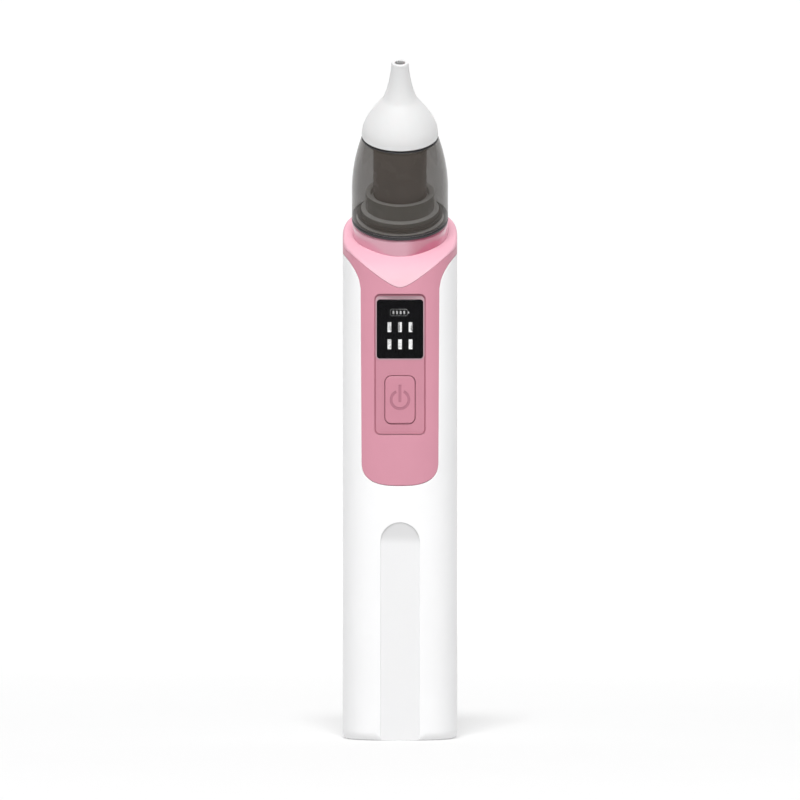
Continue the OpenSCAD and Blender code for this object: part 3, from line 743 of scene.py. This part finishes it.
def make_segments(material, dim_material):
    """Lit segments behind the window: two rows of three bars under a battery mark with four."""
    solid = Solid()
    lo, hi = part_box("display_segments")
    level_w, level_h, level_pitch, level_rows = 1 * MM, 2.6 * MM, 2.75 * MM, (-3.95 * MM, 0.5 * MM)
    mark_x, mark_z, cell_pitch, knob_x = -0.3 * MM, WINDOW_Z + 4.3 * MM, 0.94 * MM, 2.5 * MM
    round_r = 0.12 * MM
    bars = [
        bar(level_w, level_h, place * level_pitch, WINDOW_Z + row, round_r)
        for row in level_rows
        for place in (-1, 0, 1)
    ]
    bars += [
        bar(0.45 * MM, 0.9 * MM, mark_x + cell_pitch * i, mark_z, 0.15 * MM) for i in (-1.5, -0.5, 0.5, 1.5)
    ]
    bars.append(bar(0.35 * MM, 0.6 * MM, mark_x + knob_x, mark_z, round_r))
    for outline in bars:
        add_plate(solid, outline, lo.y, hi.y, 0.03 * MM)
    outer = rounded_rect(4.6 * MM, 1.9 * MM, 0.5 * MM, (mark_x, mark_z))
    inner = rounded_rect(4.24 * MM, 1.54 * MM, 0.35 * MM, (mark_x, mark_z))[::-1]
    add_frame(solid, outer, inner, lo.y, hi.y, part=1)
    solid.make("lit_marks", "housing", [material, dim_material], ["display_segments"])


def make_button(material, mark_material):
    """The button's cap with the usual power mark, its flange behind the panel, and its stem."""
    solid = Solid()
    centre = (0, (button_lo.z + button_hi.z) / 2)
    flange = (button_hi.x - button_lo.x, button_hi.z - button_lo.z)
    cap = (flange[0] - 2 * BUTTON_FLANGE, flange[1] - 2 * BUTTON_FLANGE)
    a = np.linspace(pi / 2 + MARK_GAP, 5 * pi / 2 - MARK_GAP, 41)
    ends = [MARK_R + MARK_STROKE / 2, MARK_R - MARK_STROKE / 2]
    arc = join(ends[0] * around(a), ends[1] * around(a[::-1])) + centre
    stroke = bar(MARK_STROKE, MARK_STEM[1] - MARK_STEM[0], 0, centre[1] + sum(MARK_STEM) / 2, 0.12 * MM)
    outline = rounded_rect(*cap, BUTTON_R, centre)
    marks = [arc[::-1], stroke[::-1]]
    # The mark's engraved floor takes the darker second material: painted shade.
    add_plate(solid, outline, button_lo.y, BACK_Y + 0.2 * MM, 0.3 * MM, marks, MARK_DEPTH, hole_part=1)
    add_plate(solid, rounded_rect(*flange, 0.5 * MM, centre), BACK_Y + 0.1 * MM, BACK_Y + 0.7 * MM, 0.1 * MM)
    stem = STEM_R * around(np.linspace(0, 2 * pi, 33)[:-1]) + centre
    add_plate(solid, stem, BACK_Y + 0.6 * MM, button_hi.y, 0.1 * MM)
    solid.make("button_cap", "button", [material, mark_material], ["power_button"])


# ---- Turned pieces of the head ----

TURN_STEPS = 112
ANGLES = np.linspace(0, 2 * pi, TURN_STEPS + 1)[:-1]

# The turned profiles, as plain millimetres from the head's axis and along it from the neck
CUP_R, CUP_TOP_R, CUP_WALL, CUP_HOLE_R = 12.6, 9.9, 1.3, 6.05
CUP_LOW_S, CUP_STRAIGHT_S, CUP_TOP_S = 4.8, 12.5, 28.0
BASE_LOW_S, BASE_RIM_S, PLUG_S, WELL_S = 3.95, 4.7, 7.6, 12.2
BASE_RIM_R, PLUG_R, WELL_R, WELL_BORE_R, SOCKET_R = 12.6, 10.2, 9, 7.7, 8.8
BASE_FLOOR_S = (9.5, 10.2)
TUBE_R, TUBE_BORE_R, TUBE_LOW_S, TUBE_TOP_S = 7, 4.6, 11.3, 26.65
SPIGOT_R, SPIGOT_S = 5.95, 34
NOZZLE_R, NOZZLE_LOW_S, NOZZLE_SOCKET_R, NOZZLE_SOCKET_S = 9.95, 28.4, 6, 34.3
TIP_R, TIP_BORE_R, TIP_S = 2.23, 1.3, 49.2
# The pearl ring
RING_R, RING_BORE_R, RING_TOP_S, RING_ROUND = 12.5 * MM, 9.95 * MM, 3.75 * MM, 0.65 * MM
RING_SINK = 0.12 * MM  # how far the pearl ring reaches into the collar


def spokes(angle):
    """Directions straight out from the head's axis. Angle 0 is at the front."""
    forward = np.array([0, -cos(TILT), -sin(TILT)])
    return np.outer(np.sin(angle), np.array([1.0, 0, 0])) + np.outer(np.cos(angle), forward)


def head_point(r, s):
    """A ring of points at a distance r from the head's axis and s along it."""
    r, s = np.broadcast_to(r, TURN_STEPS), np.broadcast_to(s, TURN_STEPS)
    return np.array([0, 0, NECK_Z]) + np.outer(s, HEAD_AXIS) + spokes(ANGLES) * r[:, None]


def soft_profile(corners, steps=3):
    """Rounds the corners of a closed profile given as (r, s, rounding). Points with no rounding, where
    it bends only a little, stay as they are. Returns rows of (r, s, normal r, normal s)."""
    p = np.array([c[:2] for c in corners], float)
    d = unit(np.roll(p, -1, 0) - p)
    length = np.linalg.norm(np.roll(p, -1, 0) - p, axis=1)
    rows = []
    for i, (r, s, rounding) in enumerate(corners):
        d1, d2 = d[i - 1], d[i]
        n1, n2 = np.array([d1[1], -d1[0]]), np.array([d2[1], -d2[0]])
        bend = acos(max(-1, min(1, float(d1 @ d2))))
        if rounding == 0:
            rows.append([r, s, *((n1 + n2) / np.linalg.norm(n1 + n2))])
            continue
        cut = min(rounding * tan(bend / 2), 0.45 * length[i - 1], 0.45 * length[i])
        start, end = p[i] - d1 * cut, p[i] + d2 * cut
        for t in np.linspace(0, 1, steps + 1):
            at = (1 - t) ** 2 * start + 2 * t * (1 - t) * p[i] + t**2 * end
            n = (1 - t) * n1 + t * n2
            rows.append([*at, *(n / np.linalg.norm(n))])
    return np.array(rows)


def turned(name, body, materials, corners, replaced, part_at=None):
    """A closed profile in millimetres turned round the head's axis. It runs up the outside. part_at
    gives the material's number from a ring's r, s and outward direction."""
    solid = Solid()
    spoke = spokes(ANGLES)
    rings = []
    rows = soft_profile([(r * MM, s * MM, rounding * MM) for r, s, rounding in corners])
    for r, s, nr, ns in rows:
        rings.append(solid.ring(head_point(r, s), unit(spoke * nr + np.array(HEAD_AXIS) * ns)))
    for row, a, b in zip(rows, rings, rings[1:] + rings[:1]):
        solid.bridge(b, a, part_at(*row) if part_at else 0)
    solid.make(name, body, materials, [replaced])


def bezier(points, n):
    t = np.linspace(0, 1, n + 1)[:, None]
    a, b, c, d = [np.array(p) for p in points]
    return (1 - t) ** 3 * a + 3 * t * (1 - t) ** 2 * b + 3 * t**2 * (1 - t) * c + t**3 * d


def make_nozzle(material):
    shoulder = bezier([(9.88, 29.1), (9.85, 32), (8, 34.7), (4.83, 38.5)], 18)
    tip = bezier([(4.83, 38.5), (3.64, 39.9), (2.33, 45.4), (TIP_R, TIP_S)], 16)
    rows = [(9.6, NOZZLE_LOW_S, 0.1), (NOZZLE_R, NOZZLE_LOW_S, 0.2), (NOZZLE_R, 28.8, 0.2)]
    rows += [(r, s, 0) for r, s in shoulder[:-1]]
    rows += [(r, s, 0) for r, s in tip[:-1]]
    rows += [(TIP_R, TIP_S, 0.45), (TIP_BORE_R, TIP_S, 0.35), (TIP_BORE_R, 38.8, 0), (4.6, 34.4, 0.2)]
    rows += [(NOZZLE_SOCKET_R, NOZZLE_SOCKET_S, 0.2), (NOZZLE_SOCKET_R, NOZZLE_LOW_S, 0.2)]
    turned("nozzle_tip", "nozzle", [material], rows, "silicone_nozzle")


def make_cup(*materials):
    drop = CUP_R - CUP_TOP_R
    arc_r = ((CUP_TOP_S - CUP_STRAIGHT_S) ** 2 + drop**2) / (2 * drop)
    inner_top_s = CUP_TOP_S - CUP_WALL

    def wall_r(s):
        return CUP_R - arc_r + sqrt(arc_r**2 - max(0, s - CUP_STRAIGHT_S) ** 2)

    heights = np.linspace(CUP_STRAIGHT_S, CUP_TOP_S, 17)
    rows = [(CUP_R - CUP_WALL, CUP_LOW_S, 0.3), (CUP_R, CUP_LOW_S, 0.3), (CUP_R, CUP_LOW_S + 0.45, 0)]
    rows += [(wall_r(s), s, 0) for s in heights[:-1]]
    rows += [(CUP_TOP_R, CUP_TOP_S, 0.35), (CUP_HOLE_R, CUP_TOP_S, 0.2), (CUP_HOLE_R, inner_top_s, 0.2)]
    rows += [(wall_r(inner_top_s) - CUP_WALL, inner_top_s, 0.6)]
    rows += [(wall_r(s) - CUP_WALL, s, 0) for s in heights[::-1] if s < inner_top_s - 0.5]

    def part_at(r, s, nr, ns):
        # The top and low edges take the dark edge material: painted shadow lines.
        on_top_edge = s > (CUP_TOP_S - 0.45) * MM and nr > 0
        on_low_edge = s < (CUP_LOW_S + 0.4) * MM and nr > -0.5
        if on_top_edge or on_low_edge:
            return 2
        return 1 if nr < 0 else 0

    turned("cup_shell", "cup", materials, rows, "collector_cup", part_at)


def make_inlet_tube(material):
    rows = [(TUBE_BORE_R, TUBE_LOW_S, 0.3), (TUBE_R, TUBE_LOW_S, 0.3), (TUBE_R, TUBE_TOP_S, 0.1)]
    rows += [(SPIGOT_R, TUBE_TOP_S + 0.05, 0.2), (SPIGOT_R, SPIGOT_S, 0.4), (TUBE_BORE_R, SPIGOT_S, 0.3)]
    turned("drop_tube", "cup", [material], rows, "inlet_tube")


def make_cup_base(*materials):
    low_floor_s, floor_s = BASE_FLOOR_S
    rows = [(SOCKET_R, BASE_LOW_S, 0.2), (BASE_RIM_R, BASE_LOW_S, 0.25), (BASE_RIM_R, BASE_RIM_S, 0.25)]
    rows += [(PLUG_R, BASE_RIM_S + 0.02, 0.2), (PLUG_R, PLUG_S, 0.3), (WELL_R, PLUG_S + 0.02, 0.2)]
    rows += [(WELL_R, WELL_S, 0.3), (WELL_BORE_R, WELL_S, 0.3), (WELL_BORE_R, floor_s + 0.05, 0.3)]
    rows += [(0.02, floor_s, 0), (0.02, low_floor_s, 0), (7.6, low_floor_s - 0.02, 0.3)]
    rows += [(7.6, 7.02, 0.2), (SOCKET_R, 7, 0.2)]

    def part_at(r, s, nr, ns):
        # The rim's outer face takes the dark edge material, a painted shadow; the rim's top and the ring tops take
        # glowing materials, painted light.
        if r > (PLUG_R + 0.1) * MM and s < (BASE_RIM_S + 0.3) * MM:
            return 2 if nr > 0.2 else 3
        return 1 if ns > 0.4 and s > (BASE_RIM_S + 0.3) * MM else 0

    turned("base_plug", "cup_base", materials, rows, "cup_base", part_at)


def make_neck_ring(material):
    """The ring's lower edge follows the collar's top face, which rolls away under its front."""
    solid = Solid()

    def foot_s(r):
        low, high = np.full(TURN_STEPS, -5 * MM), np.full(TURN_STEPS, 0.1 * MM)
        for _ in range(30):
            middle = (low + high) / 2
            at = head_point(r, middle)
            below = at[:, 2] < roll_z(at[:, 1]) - RING_SINK
            low, high = np.where(below, middle, low), np.where(below, high, middle)
        return low

    spoke = spokes(ANGLES)
    axis = repeat(HEAD_AXIS, TURN_STEPS)
    rings = [solid.ring(head_point(RING_R, foot_s(RING_R)), spoke)]
    for a in np.linspace(0, pi / 2, 7):
        r = RING_R - RING_ROUND * (1 - cos(a))
        s = RING_TOP_S - RING_ROUND * (1 - sin(a))
        rings.append(solid.ring(head_point(r, s), spoke * cos(a) + axis * sin(a)))
    for a, b in zip(rings, rings[1:]):
        solid.bridge(b, a)
    top_inner = solid.ring(head_point(RING_BORE_R, RING_TOP_S), axis)
    solid.bridge(top_inner, rings[-1])
    inner_low = solid.ring(head_point(RING_BORE_R, foot_s(RING_BORE_R)), -spoke)
    solid.bridge(inner_low, facing(top_inner, -spoke))
    solid.bridge(facing(rings[0], -axis), facing(inner_low, -axis))
    solid.make("pearl_ring", "housing", [material], ["neck_ring"])


# ---- Materials ----

by_name = {}  # the materials


class Tree:
    """A node tree that grows piece by piece."""

    def __init__(self, tree, place):
        self.tree = tree
        self.place = self.node("ShaderNodeTexCoord").outputs[place]

    def set(self, node, inputs):
        """Gives a node's inputs their numbers, or links them to other nodes' outputs."""
        for key, value in inputs.items():
            if isinstance(value, bpy.types.NodeSocket):
                self.tree.links.new(value, node.inputs[key])
            else:
                node.inputs[key].default_value = value

    def node(self, kind, inputs=None, **values):
        node = self.tree.nodes.new(kind)
        for key, value in values.items():
            setattr(node, key, value)
        self.set(node, inputs or {})
        return node

    def coordinate(self, axis):
        return self.node("ShaderNodeSeparateXYZ", {"Vector": self.place}).outputs[axis]

    def noise(self, scale, detail=3.0, roughness=0.5):
        inputs = {"Vector": self.place, "Scale": scale, "Detail": detail, "Roughness": roughness}
        return self.node("ShaderNodeTexNoise", inputs).outputs["Fac"]

    def ramp(self, value, low, high, out_low, out_high, shape="SMOOTHSTEP"):
        inputs = {"Value": value, "From Min": low, "From Max": high, "To Min": out_low, "To Max": out_high}
        return self.node("ShaderNodeMapRange", inputs, interpolation_type=shape).outputs["Result"]

    def maths(self, operation, *inputs):
        return self.node("ShaderNodeMath", dict(enumerate(inputs)), operation=operation).outputs["Value"]

    def mix(self, factor, a, b):
        inputs = {"Factor": factor, "A": a, "B": b}
        return self.node("ShaderNodeMix", inputs, data_type="RGBA").outputs["Result"]


class Look(Tree):
    """A Principled material."""

    def __init__(self, name, rough, **sockets):
        self.material = bpy.data.materials.new(name)
        self.material.use_nodes = True
        super().__init__(self.material.node_tree, "Object")
        self.shader = self.tree.nodes["Principled BSDF"]
        self.rough = rough
        self.set(self.shader, {name.replace("_", " "): value for name, value in sockets.items()})
        by_name[name] = self.material

    def finish(self, base, vary=0.04, patch=60, scuff=0.08, grain=2500, bump=0.02, bump_depth=0.02):
        """Adds the faint changes of tint, gloss and grain of a moulded or handled surface. The base is
        a colour or a node's output, which keeps its own tint."""
        if isinstance(base, tuple):
            dark = tuple(c * (1 - vary) for c in base) + (1.0,)
            light = tuple(min(1, c * (1 + vary)) for c in base) + (1.0,)
            base = self.mix(self.ramp(self.noise(patch), 0.3, 0.7, 0, 1), dark, light)
        wear = self.noise(patch * 4, 6, 0.65)
        rough = self.ramp(wear, 0.35, 0.75, self.rough - scuff / 2, self.rough + scuff)
        grained = {"Strength": bump, "Distance": bump_depth * MM, "Height": self.noise(grain, 4, 0.6)}
        normal = self.node("ShaderNodeBump", grained).outputs["Normal"]
        self.set(self.shader, {"Base Color": base, "Roughness": rough, "Normal": normal})
        return self.material


def height_mix(look, low, high, below, above):
    """A colour that changes with the height above the base."""
    return look.mix(look.ramp(look.coordinate("Z"), low, high, 0, 1), below, above)


def painted_reflection_mix(look, angle, plain, streak):
    """A painted reflection on the pearl finish: a darker streak at an angle round the upright axis, and one
    opposite to it.
    """
    turn = look.maths("ARCTAN2", look.coordinate("X"), look.maths("MULTIPLY", look.coordinate("Y"), -1))
    wave = look.maths("COSINE", look.maths("MULTIPLY_ADD", turn, 2, -2 * angle))
    return look.mix(look.ramp(wave, 0.45, 0.98, 0, 1), plain, streak)


def plastic(name, colour, rough=0.35, **values):
    """A finished material. A value with a capital is the shader's, and the others are the finish's."""
    sockets = {k: v for k, v in values.items() if k[0].isupper()}
    finish = {k: v for k, v in values.items() if not k[0].isupper()}
    return Look(name, rough, **sockets).finish(colour, **finish)


white_shell = plastic("white_shell", (0.895, 0.895, 0.9), 0.38, vary=0.008, scuff=0.06, bump=0.05)
# The groove's floor is a light grey, painted darker towards its sloped top end: painted shade.
groove_look = Look("white_groove", 0.5)
groove_base_painted_shade = height_mix(
    groove_look, GROOVE_TOP - 6 * MM, GROOVE_TOP - 3 * MM, (0.8, 0.8, 0.805, 1), (0.7, 0.7, 0.705, 1)
)
white_groove = groove_look.finish(groove_base_painted_shade, scuff=0.06, bump=0.05)
MILKY = {"Subsurface_Weight": 0.15, "Subsurface_Radius": (0.004, 0.003, 0.003), "Subsurface_Scale": 0.4}
silicone = plastic("silicone_white", (0.74, 0.74, 0.74), 0.5, vary=0.01, scuff=0.05, bump=0.08, **MILKY)

rose_pink = plastic("rose_pink", (0.62, 0.268, 0.345), 0.42, vary=0.02, scuff=0.06, bump=0.05)
rose_recess = plastic("rose_recess", (0.545, 0.228, 0.295), 0.5, vary=0.02, scuff=0.05, grain=4000, bump=0.12)
# The recess's bevel is a darker rose: painted shade along the recess's edge.
rose_bevel_painted_shade = plastic("rose_bevel_painted_shade", (0.40, 0.14, 0.19), 0.6, vary=0.02, scuff=0.05)
button_pink = plastic("button_pink", (0.56, 0.23, 0.30), 0.42, vary=0.02, scuff=0.06)
# The power mark's engraved floor is a darker pink: painted shade in the engraving.
mark_pink_painted_shade = plastic("mark_pink_painted_shade", (0.42, 0.16, 0.22), 0.5, vary=0.03)
trim_pink = plastic("trim_pink", (0.46, 0.30, 0.34), 0.3, vary=0.03, scuff=0.05)

# The collar's lighter pink is partly painted light: the panel's pink lit from above, put into the colour. It is
# painted lighter still low on the roll, a painted highlight at the V's tip.
collar_look = Look("light_pink", 0.6, Specular_IOR_Level=0.3)
collar_base_painted_light = height_mix(
    collar_look, ROLL_Z + 2 * MM, ROLL_Z + 8 * MM, (0.82, 0.52, 0.59, 1), (0.80, 0.44, 0.53, 1)
)
light_pink = collar_look.finish(collar_base_painted_light, scuff=0.06, bump=0.05)

# The pearl ring's darker rose streaks are a painted reflection.
REFLECTION_STREAK_ANGLE = radians(36)
pearl_look = Look("pearl_pink", 0.14, IOR=2.3, Coat_Weight=0.5, Coat_Roughness=0.08)
pearl_base_painted_reflection = painted_reflection_mix(pearl_look, REFLECTION_STREAK_ANGLE, (0.67, 0.29, 0.385, 1), (0.52, 0.10, 0.19, 1))
pearl = pearl_look.finish(pearl_base_painted_reflection, scuff=0.05)

CLEAR = {"vary": 0.05, "scuff": 0.04, "bump": 0.005}
SMOKE = {"vary": 0.06, "scuff": 0.08, "bump": 0.004}
smoky_clear = plastic("smoky_clear", (0.05, 0.037, 0.026), 0.07, Alpha=0.645, **CLEAR)
smoky_inner = plastic("smoky_inner", (0.05, 0.047, 0.043), 0.1, Alpha=0.06, **CLEAR)
# Dark opaque edges of the cup and the base rim's outer face: painted shadow lines.
smoky_edge_painted_shade = plastic("smoky_edge_painted_shade", (0.035, 0.035, 0.038), 0.4, **CLEAR)
tube_smoke = plastic("tube_smoke", (0.17, 0.14, 0.135), 0.25, **SMOKE)
base_smoke = plastic("base_smoke", (0.24, 0.25, 0.235), 0.25, **SMOKE)
# The base's ring tops and rim glow a little: painted light, for light that the smoky shell holds back.
base_top_painted_glow = plastic(
    "base_top_painted_glow", (0.68, 0.68, 0.66), 0.3, Emission_Color=(1, 1, 0.97, 1), Emission_Strength=0.1, **SMOKE
)
base_rim_painted_glow = plastic(
    "base_rim_painted_glow", (0.7, 0.68, 0.66), 0.4, Emission_Color=(1, 0.97, 0.95, 1), Emission_Strength=0.25, **SMOKE
)
GLASSY = {"vary": 0.1, "scuff": 0.03, "bump": 0.005}
lens = plastic("black_lens", (0.002, 0.002, 0.003), 0.05, Alpha=0.62, Specular_IOR_Level=0.2, **GLASSY)
LIT = {"vary": 0.02, "Emission_Color": (1, 1, 1, 1)}
lit = plastic("lit_segments", (0.9, 0.92, 0.92), 0.5, Emission_Strength=2.6, **LIT)
lit_dim = plastic("lit_outline", (0.5, 0.5, 0.5), 0.5, Emission_Strength=0.5, **LIT)

# The pieces inside
plastic("seal_rubber", (0.03, 0.03, 0.03), 0.7, vary=0.2, grain=3500, bump=0.3)
plastic("grey_plastic", (0.6, 0.6, 0.6), 0.5, grain=3000, bump=0.1)
plastic("filter_foam", (0.8, 0.79, 0.72), 0.95, vary=0.1, grain=1800, bump=1, bump_depth=0.2)
plastic("black_plastic", (0.02, 0.02, 0.022), 0.45, vary=0.2, grain=3000, bump=0.15)
plastic("bright_steel", (0.6, 0.6, 0.62), 0.28, scuff=0.15, bump=0.05, Metallic=1.0)
plastic("board_green", (0.02, 0.16, 0.07), 0.3, vary=0.12, patch=300, bump=0.1)
plastic("chip_black", (0.015, 0.015, 0.016), 0.6, vary=0.2, grain=5000, bump=0.2)
plastic("clear_silicone", (0.7, 0.73, 0.75), 0.35, vary=0.05, Transmission_Weight=0.4)
plastic("motor_core", (0.55, 0.25, 0.1), 0.35, vary=0.15, patch=400, Metallic=0.8)
plastic("magnet_dark", (0.05, 0.05, 0.055), 0.6, vary=0.2, grain=3000, bump=0.3)
plastic("bushing_brass", (0.6, 0.42, 0.16), 0.35, vary=0.08, bump=0.15, Metallic=1.0)
plastic("damper_foam", (0.07, 0.07, 0.075), 0.9, vary=0.2, grain=1800, bump=0.8, bump_depth=0.1)
plastic("battery_wrap", (0.06, 0.16, 0.42), 0.3, vary=0.06, scuff=0.12)
plastic("wire_red", (0.5, 0.02, 0.015), 0.4, vary=0.08)
plastic("wire_blue", (0.02, 0.04, 0.35), 0.4, vary=0.08)
plastic("wire_black", (0.02, 0.02, 0.02), 0.4, vary=0.15)
by_name["smoky_dark"] = base_smoke

for part in frame["record"]["subparts"]:
    node = frame["nodes"][part["node"]]
    node.data.materials.clear()
    node.data.materials.append(by_name[part["material_slot"]])

# ---- Pieces ----

make_sleeve(white_shell, white_groove)
make_panel(rose_pink, rose_recess, rose_bevel_painted_shade)
make_collar(light_pink)
make_window(lens)
make_window_trim(trim_pink)
make_segments(lit, lit_dim)
make_button(button_pink, mark_pink_painted_shade)
make_neck_ring(pearl)
make_cup_base(base_smoke, base_top_painted_glow, smoky_edge_painted_shade, base_rim_painted_glow)
make_cup(smoky_clear, smoky_inner, smoky_edge_painted_shade)
make_inlet_tube(tube_smoke)
make_nozzle(silicone)

# ---- Stage, light and camera ----

PAPER = (0.6, 0.6, 0.6)
GLOW_SPAN = (-0.3, 1.2)  # places in Y between which the backdrop's own light grows
FLOOR_GLOW = 0.22
WALL_GLOW = 0.56
HORIZON_LIGHT = 0.06
OVERHEAD_LIGHT = 0.62
WORLD_WALL = 0.5
WALL_FADE = (0.05, 0.12)  # where the pale wall ends, above and below the horizon
AIM = Vector((0, 0, 0.09))  # where the lights look


def make_backdrop():
    """A pale floor that curves up into a backdrop behind the object."""
    half, front_y, back_y, height, bend = 4.0, -3.0, 2.5, 4.0, 1.5
    a = np.linspace(-pi / 2, 0, 25)
    curve = [(front_y, 0.0)] + [(back_y - bend + bend * cos(t), bend + bend * sin(t)) for t in a]
    curve.append((back_y, height))
    points = [(x, y, z) for y, z in curve for x in (-half, half)]
    faces = [(2 * i, 2 * i + 1, 2 * i + 3, 2 * i + 2) for i in range(len(curve) - 1)]
    mesh = bpy.data.meshes.new("backdrop")
    mesh.from_pydata(points, [], faces)
    mesh.polygons.foreach_set("use_smooth", [True] * len(faces))
    paper = Look("paper", 0.8, Emission_Color=(1, 1, 1, 1))
    glow = paper.ramp(paper.coordinate("Y"), *GLOW_SPAN, FLOOR_GLOW, WALL_GLOW)
    paper.set(paper.shader, {"Emission Strength": glow})
    mesh.materials.append(paper.finish(PAPER, vary=0.01, patch=2, grain=300, bump=0.02))
    add_object("backdrop", mesh)


def make_world():
    """Light from all round, stronger from above, with a pale wall along the horizon."""
    world = bpy.data.worlds.new("studio")
    bpy.context.scene.world = world
    world.use_nodes = True
    tree = Tree(world.node_tree, "Generated")
    up = tree.coordinate("Z")
    sky = tree.ramp(up, 0, 1, HORIZON_LIGHT, OVERHEAD_LIGHT, "LINEAR")
    wall = tree.ramp(tree.maths("ABSOLUTE", up), *WALL_FADE, WORLD_WALL, 0, "LINEAR")
    light = {"Color": (1, 1, 1, 1), "Strength": tree.maths("ADD", sky, wall)}
    tree.set(world.node_tree.nodes["Background"], light)


def add_light(name, location, size_x, size_y, power):
    """A soft rectangular light that looks at the middle of the object."""
    data = bpy.data.lights.new(name, "AREA")
    data.shape = "RECTANGLE"
    data.size = size_x
    data.size_y = size_y
    data.energy = power
    light = add_object(name, data)
    light.location = location
    light.rotation_euler = (AIM - Vector(location)).to_track_quat("-Z", "Y").to_euler()


make_backdrop()
make_world()
add_light("key", (-0.05, -1.15, 1.75), 0.5, 0.5, 33)
add_light("fill", (0.0, -2.0, 0.55), 0.4, 0.3, 1.5)

CAMERA_DISTANCE = 1.5
CAMERA_HEIGHT = 0.08846
LENS = 257.6
camera_data = bpy.data.cameras.new("camera")
camera_data.sensor_width = 36
camera_data.lens = LENS
camera_data.clip_start = 0.1
camera_data.clip_end = 20
camera = add_object("camera", camera_data)
camera.location = (0, -CAMERA_DISTANCE, CAMERA_HEIGHT)
camera.rotation_euler = (pi / 2, 0, 0)
bpy.context.scene.camera = camera
bpy.context.scene.view_settings.view_transform = "Standard"
